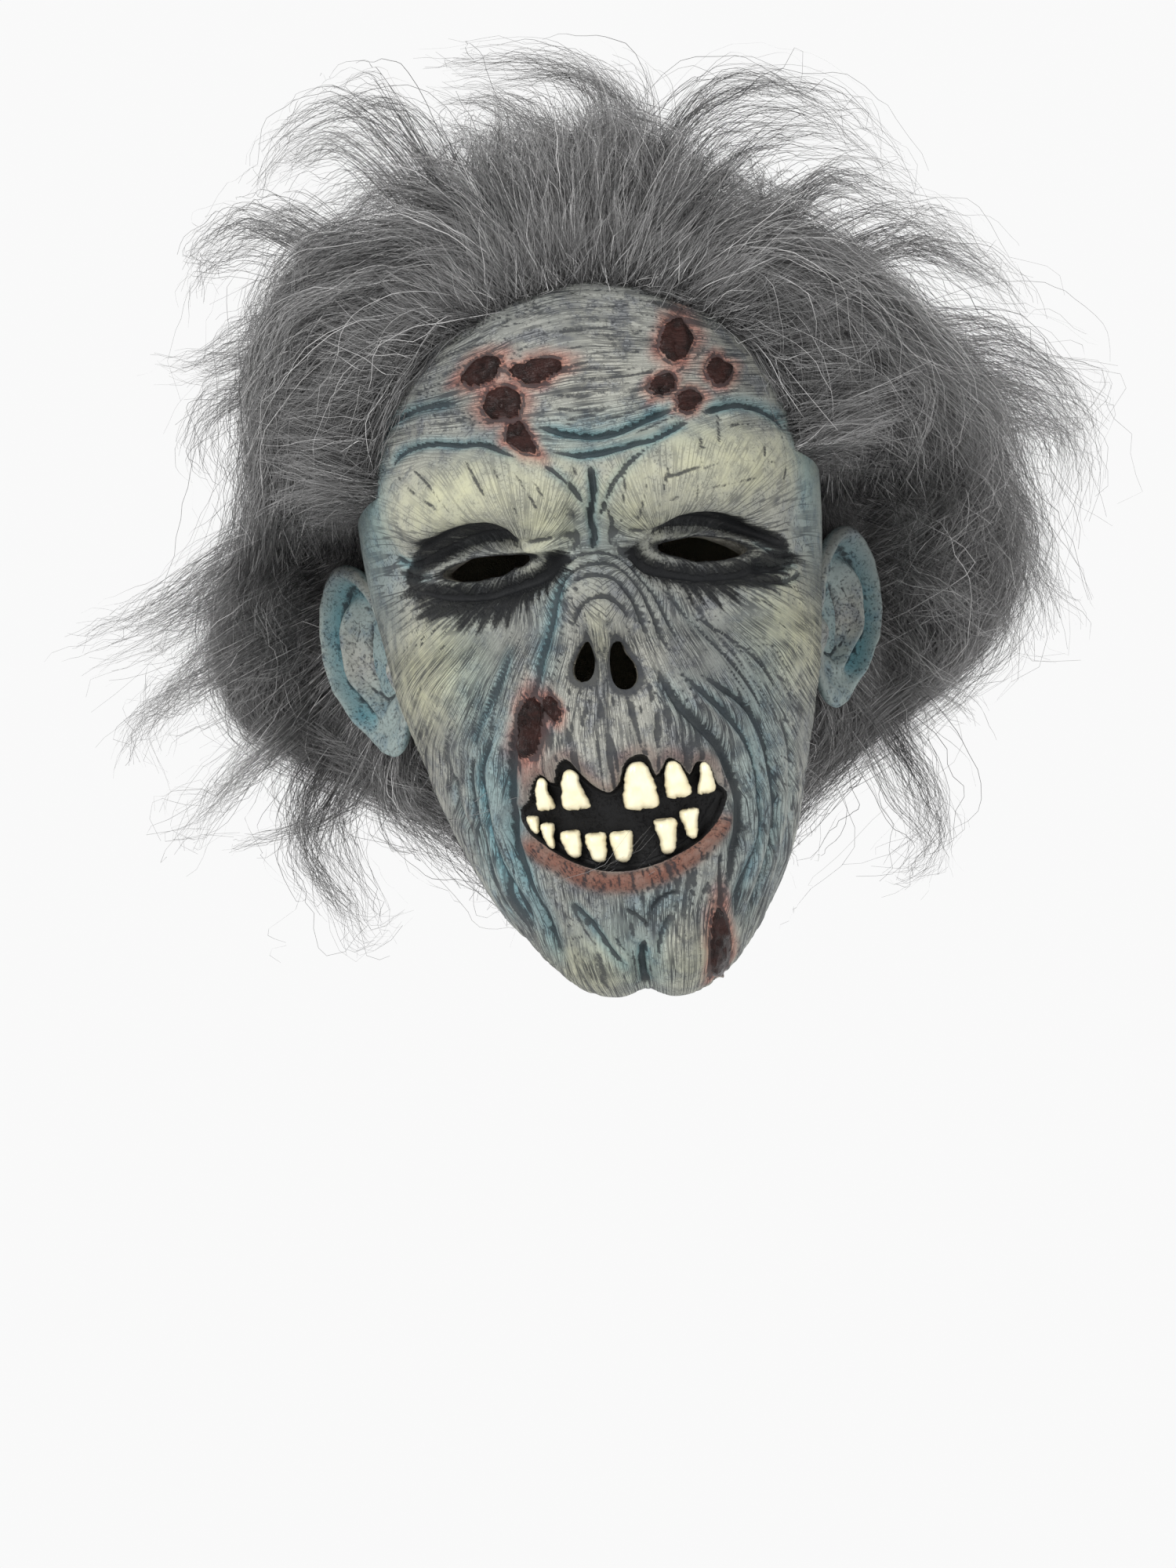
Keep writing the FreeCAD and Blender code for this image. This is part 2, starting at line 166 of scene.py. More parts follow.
# ---- the sculpt, in x and z ---------------------------------------------------------------
# Folds: points, width, depth, how teal the paint in them is, how dark.
FOLDS = {
    "forehead_furrow_upper": ([(-16, -70.5), (-8, -74), (2, -77), (10, -77), (17, -74.5), (24, -72),
        (30, -70)], 1.5, 1.7, 1.0, 0.9),
    "forehead_furrow_lower": ([(-13, -80), (-3, -82.5), (5, -83), (13, -82), (20, -81), (28, -77.5),
        (33, -74.5)], 1.3, 1.3, 1.0, 0.7),
    "temple_arc_right": ([(-63, -70), (-58.5, -64.5), (-51, -61.5), (-43, -61),
        (-34.5, -61)], 1.3, 1.2, 0.9, 0.6),
    "brow_top_right": ([(-60, -80), (-57, -75.5), (-51.5, -73), (-43.5, -73), (-36, -75), (-30, -75.5),
        (-23, -80), (-17, -84)], 1.3, 1.3, 0.8, 0.6),
    "brow_top_left": ([(36, -73), (42, -71.5), (49, -71), (55, -73), (60, -76.5),
        (62.5, -82)], 1.6, 1.7, 0.9, 0.9),
    "brow_crease": ([(1.5, -84), (1.5, -92), (0, -100), (0, -107), (-2, -112)], 1.3, 2.2, 1.0, 0.45),
    "brow_side_right": ([(-14, -84), (-9, -88), (-4, -93), (-1, -99), (-1, -106)], 1.1, 1.0, 0.5, 0.3),
    "brow_side_left": ([(28, -79.5), (17, -84.5), (8, -91.5), (3, -99), (1, -107)], 1.0, 1.0, 0.5, 0.3),
    "crow_left_1": ([(45, -112), (53, -117.5), (62, -117)], 1.1, 1.3, 0.5, 0.9),
    "crow_left_2": ([(44, -120), (52, -122), (62, -119)], 1.2, 1.3, 0.5, 0.9),
    "crow_left_3": ([(44, -126), (55, -126), (63, -122.5)], 1.0, 0.9, 0.3, 0.7),
    "crow_right_1": ([(-62, -109), (-55, -111.5), (-47, -113)], 1.1, 1.1, 0.5, 0.8),
    "crow_right_2": ([(-62, -104), (-57, -107.5), (-52, -108)], 1.1, 1.0, 0.9, 0.6),
    "nose_arch_1": ([(-11, -134), (-8, -129.5), (-4, -126.5), (1.5, -126), (6, -129),
        (9, -134)], 0.9, 1.2, 0.0, 0.9),
    "nose_arch_2": ([(-13, -130), (-11.5, -124), (-7, -120), (-1, -119.5), (5, -121.5), (10, -128.5),
        (12.5, -136), (16, -145)], 0.9, 1.1, 0.1, 0.8),
    "nose_arch_3": ([(-17, -134), (-13.5, -123), (-9, -118), (-2.5, -115.7), (5, -116.5), (10.5, -122),
        (14.5, -131), (17, -139.5), (21, -147)], 0.9, 1.1, 0.1, 0.9),
    "nose_arch_4": ([(-16.5, -125), (-11, -116), (-4, -112), (4, -113), (11, -118), (16, -127),
        (20, -137), (25, -145)], 0.8, 0.9, 0.2, 0.7),
    "nose_side_right": ([(-6, -113), (-11.5, -121), (-15.5, -131), (-19.5, -141), (-22, -149),
        (-27, -158)], 1.4, 1.3, 1.0, 0.5),
    "cheek_line_right": ([(-27, -133.5), (-32, -145), (-37, -154), (-41, -161),
        (-43, -168)], 1.2, 0.7, 0.9, 0.3),
    "cheek_line_left_1": ([(17, -121), (23, -131), (30, -140), (37, -149), (43, -160),
        (46, -172)], 0.9, 0.8, 0.2, 0.8),
    "cheek_line_left_2": ([(22, -128), (29, -135), (38, -142), (46, -151), (50, -160)], 0.8, 0.7, 0.1, 0.8),
    "smile_left_1": ([(14, -146), (16, -153), (20, -161), (26, -168.5), (30, -174), (32.5, -182),
        (33.5, -190), (33, -199), (30, -209), (28, -221)], 2.0, 3.0, 0.4, 1.0),
    "smile_left_2": ([(18, -147), (25, -155), (32, -163), (37, -172), (39, -180), (39, -190),
        (38.5, -200), (34, -211), (30, -221), (29.5, -232)], 1.3, 1.6, 0.8, 0.6),
    "smile_left_3": ([(24, -149), (32, -155.5), (40, -163), (44, -172), (45, -183), (45, -197),
        (40, -210), (34, -223), (29, -235)], 1.3, 1.5, 0.6, 0.7),
    "smile_left_4": ([(48, -163), (51.5, -171), (52, -182), (50, -196), (45, -211),
        (38.5, -225)], 1.2, 1.0, 0.3, 0.4),
    "smile_right_1": ([(-27, -158), (-30.5, -164), (-32.5, -174), (-33, -185), (-33, -196), (-31, -208),
        (-27, -219), (-24, -229), (-21, -236)], 1.9, 2.4, 1.0, 0.6),
    "smile_right_2": ([(-35, -160), (-37.5, -166), (-41, -173), (-41, -182), (-39.5, -194), (-36, -206),
        (-31, -218), (-28, -226)], 1.6, 1.7, 1.0, 0.3),
    "smile_right_3": ([(-41, -165), (-44.5, -173), (-44.5, -186), (-42, -199), (-38, -213),
        (-33, -225)], 1.2, 1.3, 0.6, 0.5),
    "smile_right_4": ([(-49, -170), (-50.5, -179), (-47, -193), (-43, -205),
        (-37.5, -218)], 1.1, 0.9, 0.4, 0.4),
    "jaw_lines_left": ([(27, -204), (26, -212), (25, -222)], 0.9, 1.2, 0.0, 1.0),
    "chin_fork_left": ([(14, -215), (9, -216), (5, -219), (3, -225)], 1.0, 1.3, 0.4, 1.0),
    "chin_fork_right": ([(-4, -218), (1, -222), (3, -225)], 0.9, 1.1, 0.2, 0.9),
    "chin_cleft": ([(2, -228), (0, -233), (0, -238), (0.5, -244)], 1.8, 2.2, 0.9, 0.8),
    "chin_diagonal_right": ([(-21, -213), (-13, -222), (-7, -231), (-2, -237)], 1.1, 1.2, 0.8, 0.7),
    "chin_diagonal_middle": ([(-8, -225), (-4, -231), (-1, -236)], 0.9, 0.9, 0.5, 0.8),
    "chin_diagonal_left": ([(10, -221), (6.5, -227), (4, -235)], 1.0, 1.0, 0.5, 0.8),
}

# Thin carved lines: points, width, depth.
SCRATCHES = [
    ([(-10, -56.5), (0, -54), (11, -53), (24, -51.5)], 0.55, 0.7),
    ([(-22, -58), (-10, -59), (4, -59), (20, -59), (27, -56.5)], 0.55, 0.7),
    ([(-14, -62), (0, -63.5), (9, -63), (23, -62)], 0.6, 0.8),
    ([(-15, -65), (-1, -68), (9, -68.5), (19, -67.5)], 0.6, 0.8),
    ([(-7, -70), (4, -72), (14, -71), (21, -69)], 0.55, 0.7),
    ([(-12, -73), (-4, -72.5), (6, -74.5)], 0.5, 0.6),
    ([(14, -79), (22, -76), (29, -73)], 0.5, 0.6),
    ([(-44, -44), (-28, -39.5), (-11, -37), (8, -36.5), (22, -38)], 0.45, 0.4),
    ([(-51, -50), (-35, -45), (-18, -43), (2, -43), (20, -44), (38, -47)], 0.45, 0.4),
    ([(-46, -54), (-34, -50), (-22, -48.5), (-6, -49), (12, -48)], 0.45, 0.45),
    ([(-40, -58), (-30, -57.5)], 0.45, 0.4),
    ([(30, -40), (42, -46), (52, -54)], 0.45, 0.4),
    ([(36, -56), (29, -61), (24, -66)], 0.6, 0.8),
    ([(41, -52), (33, -59)], 0.5, 0.6),
    ([(36, -75), (34, -82), (31, -92), (29, -98)], 0.5, 0.7),
    ([(41, -73), (40, -80), (37, -88)], 0.45, 0.5),
    ([(55, -77), (53, -84), (49, -93)], 0.45, 0.5),
    ([(60, -80), (59, -88), (56, -96)], 0.45, 0.5),
    ([(34, -79), (44, -77.5), (58, -77.5)], 0.4, 0.45),
    ([(30, -85), (42, -86), (56, -85)], 0.4, 0.45),
    ([(18, -92), (30, -90), (44, -89), (58, -90)], 0.4, 0.4),
    ([(20, -96), (34, -94), (50, -93)], 0.4, 0.35),
    ([(12, -88), (10, -96), (8, -103)], 0.45, 0.5),
    ([(20, -86), (16, -94), (12, -102)], 0.45, 0.5),
    ([(26, -83), (22, -92), (18, -99)], 0.4, 0.45),
    ([(-57, -80), (-50, -87), (-40, -93)], 0.45, 0.5),
    ([(-52, -79), (-45, -86), (-37, -94)], 0.4, 0.4),
    ([(-36, -77), (-33, -84), (-28, -92)], 0.45, 0.5),
    ([(-30, -78), (-26, -86), (-20, -97)], 0.45, 0.5),
    ([(-24, -82), (-18, -91), (-13, -99)], 0.45, 0.5),
    ([(-18, -86), (-13, -94), (-9, -102)], 0.4, 0.4),
    ([(-24, -218), (-14, -221), (-6, -219)], 0.5, 0.6),
    ([(-24, -222), (-15, -221.5), (-7, -224)], 0.5, 0.6),
    ([(-25, -226), (-14, -225)], 0.4, 0.4),
    ([(-20, -214), (-16, -222), (-11, -229)], 0.45, 0.5),
    ([(50, -166), (54, -170), (56, -176)], 0.5, 0.6),
    ([(47, -152), (52, -156), (54, -162)], 0.6, 0.7),
    ([(48, -178), (54, -181)], 0.4, 0.4),
    ([(46, -186), (55, -189)], 0.4, 0.4),
]

# Steps: the side to the left of the line's run stands higher. Points, width, height, fade length.
STEPS = [
    ([(-3, -111), (-12, -110.5), (-19, -106.5), (-25, -100), (-31, -96.5), (-41, -97), (-52, -102),
        (-60, -107)], 1.5, -5.4, 11),
    ([(1, -111), (10, -110.5), (18, -104.5), (26, -101), (35, -101), (44.5, -105.5), (53, -111),
        (61, -114)], 1.5, 5.4, 11),
]

# Soft oval forms and sprays of paint: middle, half widths, turn, strength. A mound's strength is its height.
MOUNDS = [
    (-37, -89, 18, 6.5, 8, 3.6), (-13, -98, 6, 9, -40, 3.6), (39, -90, 18, 7, -6, 3.8),
    (13, -98, 6, 9, 40, 3.6), (-35, -102.5, 16, 3.4, 6, -3.6), (34, -105.5, 16, 3.4, -8, -3.6),
    (-17, -112, 5, 6, 0, -3.4), (17, -113, 5, 6, 0, -3.4), (-32, -110.5, 12, 5.5, 5, 4.6),
    (31.5, -113, 12, 5.5, -10, 4.6), (-33, -119.5, 14, 2.4, 6, -1.6), (33, -121, 14, 2.4, -8, -1.6),
    (-31, -125, 15, 3.6, 8, 1.6), (34, -127, 15, 3.6, -8, 1.6), (-1, -121, 6, 8, 0, 2.0),
    (-55, -141, 8, 14, -12, 2.8), (56, -141, 8, 14, 12, 2.8), (-6.5, -144, 6, 9, 8, -3.2),
    (3.8, -146, 6.5, 9.5, -6, -3.2), (25, -164, 3.2, 10, 32, 1.8), (36, -184, 2.4, 18, 2, 1.5),
    (-37, -182, 2.8, 20, 0, 1.9), (-12, -234, 8, 8, -15, 4.0), (12.5, -235.5, 8, 8, 12, 4.2),
    (0.5, -240, 3.6, 9, 0, -3.2), (-12, -169, 9, 9, 0, 1.0), (12, -168, 9, 9, 0, 1.0),
]
BROW_PADS = [(-36, -89, 18, 9, 0, 1.0), (38, -89, 18, 9, 0, 1.0)]
NOSE_BONE = [(-1.9, -138.5, 2.1, 4.6, 4, 1.0), (-1.5, -130.5, 2.6, 3.2, 0, 0.7)]
NOSE_BONE_HEIGHT = 3.4
CREAM_SPRAY = [
    (-38, -90, 17, 7, 8, 1.0), (40, -88, 18, 8, -4, 1.0), (-12, -100, 7, 9, -35, 0.9),
    (12, -99, 6, 9, 35, 0.7), (-53, -141, 9, 13, -20, 1.1), (56, -140, 8, 13, 14, 1.0),
    (-14, -234, 10, 6, -20, 0.8), (16, -235, 9, 6, 15, 0.55), (-1.9, -135, 3, 8, 0, 0.5),
]
TEAL_SPRAY = [
    (-67, -88, 5, 22, 0, 0.9), (67, -92, 4, 22, 0, 0.7), (2, -76, 24, 5, 0, 0.5),
    (-38, -172, 6, 28, 4, 0.75), (41, -178, 7, 28, -6, 0.65), (0, -106, 7, 8, 0, 0.4),
    (-19, -141, 3, 16, -12, 0.5), (-6, -229, 10, 5, -40, 0.4), (6, -218, 9, 4, 10, 0.5),
    (1, -236, 4, 7, 0, 0.5),
]

# Eye holes: middle, turn. Nostrils: middle, half widths, turn.
EYE_HOLES = [(-32.3, -111.3, 5.5), (31.4, -113.6, -10.0)]
EYE_HALF_WIDTH = 13.4
EYE_HALF_HEIGHT = 4.4
NOSTRIL_HOLES = [(-8.0, -144.2, 3.1, 5.8, -12.0), (4.6, -146.6, 4.0, 6.6, 6.0)]
# Outlines of the black paint round each eye and of the mouth, and the run of the lower lip.
SOCKETS = [
    [
        (-59, -110), (-54.5, -103.5), (-50, -100.5), (-41.5, -97.5), (-31, -96.5), (-24, -101),
        (-18, -106.5), (-9, -110), (-8, -114), (-13, -120), (-20, -125), (-29, -129), (-38, -130),
        (-48, -127), (-55, -121), (-58, -115),
    ], [
        (9, -111.5), (15, -107.5), (24, -102.5), (32, -100.5), (41, -102.5), (50, -108), (59, -114),
        (60, -119), (54, -125), (44, -129), (35, -130), (25, -126.5), (17, -121.5), (11, -116),
    ],
]
MOUTH_OUTLINE = [
    (-31, -185.5), (-28, -183), (-26.5, -178.5), (-24, -176), (-20.5, -179), (-18.6, -174),
    (-15.5, -172.4), (-12, -177), (-8, -181.5), (-4, -183.5), (-0.8, -181), (1, -176), (4, -173.6),
    (8, -174), (10.2, -180), (12.4, -178), (14.6, -175.2), (18, -177.5), (20.5, -181), (23, -177.4),
    (26, -179), (27.6, -184), (30.4, -187.6), (28, -193), (22, -200), (13, -204.6), (3, -207),
    (-7, -206.8), (-16, -203.5), (-23, -198.5), (-28.5, -192.5), (-31, -188),
]
LIP_LINE = [
    (-31, -190.5), (-28, -197), (-21, -203.3), (-14, -208), (-6, -210.6), (3, -210.6), (12.5, -208),
    (21, -203.2), (27.5, -196.6), (29.8, -191),
]

# Scabs: middle, half sizes, turn.
SCABS = [
    (-28.2, -52.6, 6.2, 3.9, 22), (-11.8, -54.4, 7.8, 3.9, 4), (-23.0, -63.4, 5.6, 4.8, -20),
    (-18.6, -75.2, 3.6, 6.6, 28), (31.4, -49.7, 5.0, 6.4, -25), (43.5, -59.8, 3.8, 3.9, 10),
    (25.9, -62.8, 4.2, 3.0, 42), (33.2, -68.6, 4.2, 3.0, 34), (-25.9, -161.3, 3.8, 9.6, -14),
    (-18.4, -156.3, 2.1, 4.4, 28), (22.8, -232.7, 3.5, 10.4, -6),
]

# Half width of the muzzle, which its wrinkles and folds follow, at each depth below the crown.
MUZZLE_WIDTH = ([100, 112, 120, 132, 146, 165, 190, 210, 232, 250], [6, 9, 13, 18, 24, 30, 34, 31, 24, 20])
# How far the level lines of the forehead bow up, per square millimetre off the middle, at each depth.
FOREHEAD_BOW = ([25, 45, 62, 78, 90], [0.0085, 0.006, 0.0, -0.006, -0.004])


def eye_value(x, z, hole):
    """Under 1 inside an almond-shaped eye hole."""
    u, v = turned(x, z, *hole)
    u, v = u / EYE_HALF_WIDTH, v / EYE_HALF_HEIGHT
    return np.abs(u) ** 1.5 + np.abs(v + 0.12 * (1 - u * u)) ** 1.6


def nostril_value(x, z, hole):
    """Under 1 inside a drop-shaped nostril, narrower at its top."""
    cx, cz, wide, tall, turn = hole
    u, v = turned(x, z, cx, cz, turn)
    v = v / tall
    u = u / (wide * (1 - 0.38 * np.clip(v, -1, 1)))
    return u * u + v * v


def holes_value(x, z):
    """Under 1 inside any of the four holes."""
    eyes = [eye_value(x, z, hole) for hole in EYE_HOLES]
    return np.minimum.reduce(eyes + [nostril_value(x, z, hole) for hole in NOSTRIL_HOLES])


def inside(points, x, z, reach=6.0):
    """Signed distance to a closed outline, positive inside."""
    closed = list(points) + [points[0]]
    near, dist, _, _ = off_line(closed, x, z, reach)
    hit = np.zeros(len(near), bool)
    px, pz = x[near], z[near]
    line = smooth_line(closed, 5)
    for a, b in zip(line, line[1:]):
        crosses = (a[1] > pz) != (b[1] > pz)
        where = (b[0] - a[0]) * (pz - a[1]) / (b[1] - a[1] + 1e-12) + a[0]
        hit ^= crosses & (px < where)
    out = np.full(len(x), -reach)
    out[near] = np.where(hit, dist, -dist)
    return out


def eye_polar(x, z, hole):
    """Angle and distance from the inner end of an eye, which the brushed paint fans out from."""
    cx, cz, _ = hole
    px, pz = x - (cx - math.copysign(13, cx)), z - (cz + 2)
    return np.arctan2(pz, px * math.copysign(1, cx)), np.hypot(px, pz)


def socket_paint(x, z):
    """Black brushed into the eye sockets and in ragged strokes over the bags, thin on the lids."""
    paint = np.zeros(len(x))
    for hole, outline in zip(EYE_HOLES, SOCKETS):
        cx, cz, turn = hole
        angle, distance = eye_polar(x, z, hole)
        strokes = noise(angle * 17, distance / 15, 71) + 0.6 * noise(angle * 37, distance / 11, 72)
        low = smooth((cz - 1 - z) / 5)
        depth = inside(outline, x, z, 9.0)
        body = smooth((depth + 1.2 + 2.6 * low + (1.0 + 2.6 * low) * strokes) / (2.6 + 3.4 * low))
        edge = np.sqrt(eye_value(x, z, hole))
        lid = peak(edge, 1.24, 0.15) * (1 - 0.6 * low) + 0.75 * bell(x, z, cx, cz + 6.2, 10, 1.6, turn)
        thin = 1 - low * (0.06 + 0.30 * smooth((-depth + 5) / 9))
        paint = np.maximum(paint, body * thin * (1 - 0.78 * np.clip(lid, 0, 1)))
        paint = np.maximum(paint, 0.9 * peak(edge, 1.0, 0.09))
    return paint


class Sculpt:
    """Relief of the skin over its CAD shape, and the masks of the paint that follows it."""

    def __init__(self, x, z, front):
        self.x, self.z = x, z
        self.relief = bells(x, z, MOUNDS)
        self.masks = {name: np.zeros(len(x)) for name in ("dark", "teal", "rust", "scab", "mouth", "lip")}
        self.raise_steps()
        self.carve_folds()
        self.carve_scratches()
        self.wrinkle = self.muzzle_wrinkles() + self.forehead_wrinkles()
        self.ring_eyes()
        self.roll_lip()
        self.sink_mouth()
        self.raise_lids_and_nose()
        self.raise_scabs()
        self.relief -= self.wrinkle
        self.mask_fine_lines()
        self.paint("dark", np.clip(self.wrinkle * 1.5, 0, 1))
        self.masks["cream"] = np.clip(bells(x, z, CREAM_SPRAY), 0, 1) * front
        teal = np.maximum(0.95 * self.masks["teal"], 0.78 * bells(x, z, TEAL_SPRAY))
        self.masks["teal"] = np.clip(teal, 0, 1)
        self.masks["socket"] = socket_paint(x, z)

    def paint(self, name, strength, where=slice(None)):
        """Raises a mask to at least this strength."""
        self.masks[name][where] = np.maximum(self.masks[name][where], strength)

    def raise_steps(self):
        """One side of each step stands higher, and both sides fade away from it."""
        for points, width, height, fade in STEPS:
            near, dist, side, along = off_line(points, self.x, self.z, fade * 2.5)
            s = dist * side * math.copysign(1, height)
            step = 0.5 * (1 + np.tanh(s / width)) * np.exp(-np.clip(s, 0, None) / fade)
            self.relief[near] += abs(height) * step * tapered(along, 6) * np.exp(-np.clip(-s, 0, None) / fade)

    def carve_folds(self):
        """Deep folds between swollen banks, with teal sprayed in and a broken dark core."""
        for points, width, depth, teal, dark in FOLDS.values():
            near, dist, _, along = off_line(points, self.x, self.z, width * 6)
            ends = tapered(along, 5)
            wobble = 1 + 0.35 * noise(along * 9, 0, len(points))
            cut = peak(dist, 0, width * 0.62) * ends * wobble
            swell = peak(dist, 2.1 * width, 1.3 * width) * ends
            self.relief[near] += depth * (0.42 * swell - cut)
            broken = 0.55 + 0.45 * noise(along * 31, teal, 76)
            core = peak(dist, 0, width * (0.24 + 0.16 * broken)) * (0.55 + 0.45 * broken)
            self.paint("dark", dark * core * ends, near)
            self.paint("teal", teal * peak(dist, 0, width * 1.75) * ends, near)

    def carve_scratches(self):
        """Thin lines that come and go."""
        for points, width, depth in SCRATCHES:
            near, dist, _, along = off_line(points, self.x, self.z, width * 5)
            cut = peak(dist, 0, width) * tapered(along, 7)
            faint = 0.45 + 0.55 * smooth(noise(along * 7 + depth * 9, points[0][0], 75) + 0.5)
            self.relief[near] -= 0.7 * depth * cut * faint
            self.paint("dark", 0.80 * cut * faint, near)

    def muzzle_wrinkles(self):
        """Long wrinkles that follow the muzzle and the cheeks."""
        x, z = self.x, self.z
        self.lower = smooth((-z - 112) / 14) * smooth((262 + z) / 14)
        v = (x - 1) / np.interp(-z, *MUZZLE_WIDTH)
        wander = noise(x / 17, z / 23, 3) * 0.05
        self.masks["across_lower"] = v * 30 + wander * 30
        muzzle = np.exp(-((np.abs(v) / 0.92) ** 6)) * smooth((-z - 148) / 8) * smooth((190 + z) / 12)
        lines = grooves(z / 26 + v, (v + wander) * 11, 21, 0.13)
        fine = grooves(z / 15 - v, (v + wander) * 24, 22, 0.2)
        patchy = 0.45 + 0.75 * noise(x / 13, z / 30, 5) ** 2 + 0.5 * muzzle
        return self.lower * (0.55 * lines * patchy + 0.22 * fine)

    def forehead_wrinkles(self):
        """Level lines across the forehead, bowed up at the hairline and down between the brows."""
        x, z = self.x, self.z
        level = z + np.interp(-z, *FOREHEAD_BOW) * np.minimum(x * x, 2200) + 0.9 * noise(x / 14, z / 9, 8)
        upper = smooth((-z - 22) / 8) * smooth((86 + z) / 9)
        upper = upper * (1 - 0.7 * np.clip(bells(x, z, BROW_PADS), 0, 1))
        self.masks["across_upper"], self.masks["upper"] = level, upper
        coarse, fine = grooves(x / 30, level / 2.6, 31, 0.13), grooves(x / 18, level / 1.25, 33, 0.2)
        return upper * (0.34 * coarse + 0.18 * fine)

    def ring_eyes(self):
        """Rings and crow's feet round the eyes, in place of the other wrinkles."""
        ring = np.zeros(len(self.x))
        for hole in EYE_HOLES:
            u, v = turned(self.x, self.z, *hole)
            radius = np.sqrt((u / 2.0) ** 2 + v ** 2)
            around = np.arctan2(v, u / 2.0)
            near = smooth((19 - radius) / 6) * smooth((radius - 4.5) / 2)
            below = smooth((-v + 1) / 5)
            ring += near * (0.4 * grooves(around * 1.7, radius / 1.6, 41, 0.17)) * (0.4 + 0.6 * below)
        self.wrinkle = self.wrinkle * (1 - np.clip(ring * 2, 0, 1)) + ring

    def roll_lip(self):
        """The lower lip is a roll with wrinkles across it."""
        near, dist, _, along = off_line(LIP_LINE, self.x, self.z, 9)
        ends = tapered(along, 8)
        band = np.exp(-(dist / 3.4) ** 4) * ends
        self.relief[near] += 2.3 * peak(dist, 0, 2.7) * ends
        self.paint("lip", band, near)
        across = grooves(dist / 9, along * 44, 51, 0.25)
        self.wrinkle[near] = self.wrinkle[near] * (1 - band) + band * 0.5 * across

    def sink_mouth(self):
        """The black recess of the mouth, and the swollen rim over the upper teeth."""
        mouth = inside(MOUTH_OUTLINE, self.x, self.z)
        self.paint("mouth", smooth(mouth + 0.7))
        self.relief -= 2.6 * smooth((mouth + 0.5) / 1.8)
        self.relief += 0.8 * peak(mouth, -2.2, 1.5)
        self.wrinkle *= 1 - self.masks["mouth"]
        self.paint("lip", 0.50 * peak(mouth, -1.5, 2.2) * smooth((192 + self.z) / 10))

    def raise_lids_and_nose(self):
        """Eyelids stand up round the slits, and the bone between the nostrils in their hollow."""
        for hole in EYE_HOLES:
            edge = np.sqrt(eye_value(self.x, self.z, hole))
            self.relief += 1.2 * peak(edge, 1.22, 0.2) - 1.3 * peak(edge, 1.72, 0.18)
        for hole in NOSTRIL_HOLES:
            edge = np.sqrt(nostril_value(self.x, self.z, hole))
            self.relief += 0.9 * peak(edge, 1.75, 0.3)
            self.paint("dark", peak(edge, 1.0, 0.36))
        self.relief += NOSE_BONE_HEIGHT * bells(self.x, self.z, NOSE_BONE)

    def raise_scabs(self):
        """Lumpy scabs with a sunk rim and a red halo."""
        for k, (cx, cz, wide, tall, turn) in enumerate(SCABS):
            u, v = turned(self.x, self.z, cx, cz, turn)
            u, v = u / wide, v / tall
            r = np.sqrt(u * u + v * v)
            near = np.flatnonzero(r < 4)
            a = np.arctan2(v[near], u[near])
            r = r[near] / (1 + 0.16 * noise(a * 1.6 + 9, k, 61) + 0.08 * noise(a * 4 + 5, k, 62))
            body = smooth((0.99 - r) / 0.16)
            lumps = cloud(self.x[near] / 2.1, self.z[near] / 2.1, 63 + k)
            self.relief[near] += body * (0.9 + 0.75 * lumps) - 0.5 * peak(r, 1.12, 0.12)
            self.paint("scab", smooth((1.04 - r) / 0.11), near)
            self.paint("rust", 0.95 * smooth((2.15 - r) / 1.25), near)
            self.wrinkle[near] *= 1 - body

    def mask_fine_lines(self):
        """Where the fine painted lines run on the lower face and in fans from the eyes."""
        x, z = self.x, self.z
        across, along, fan = np.full(len(x), 9.0), np.full(len(x), 60.0), np.zeros(len(x))
        for hole in EYE_HOLES:
            angle, distance = eye_polar(x, z, hole)
            mine = x * hole[0] > 0
            across[mine], along[mine] = angle[mine] * 16, distance[mine]
            above = z - hole[1]
            near = smooth((56 - distance) / 12) * smooth((distance - 4) / 6) * mine
            near *= 1 - 0.5 * smooth((above - 11) / 10)
            fan = np.maximum(fan, near * smooth((above + 26) / 8) * smooth((36 - above) / 8))
        self.masks["across_fan"], self.masks["along_fan"], self.masks["fan"] = across, along, fan
        lower = self.lower * (1 - self.masks["mouth"]) * (1 - 0.8 * self.masks["lip"])
        self.masks["lower"] = lower * (1 - 0.75 * fan)


# ---- the skin's mesh ------------------------------------------------------------------------


def ray(theta, phi):
    """Unit direction: theta round from the nose, phi up from level."""
    return np.stack([np.sin(theta) * np.cos(phi), -np.cos(theta) * np.cos(phi), np.sin(phi)], -1)


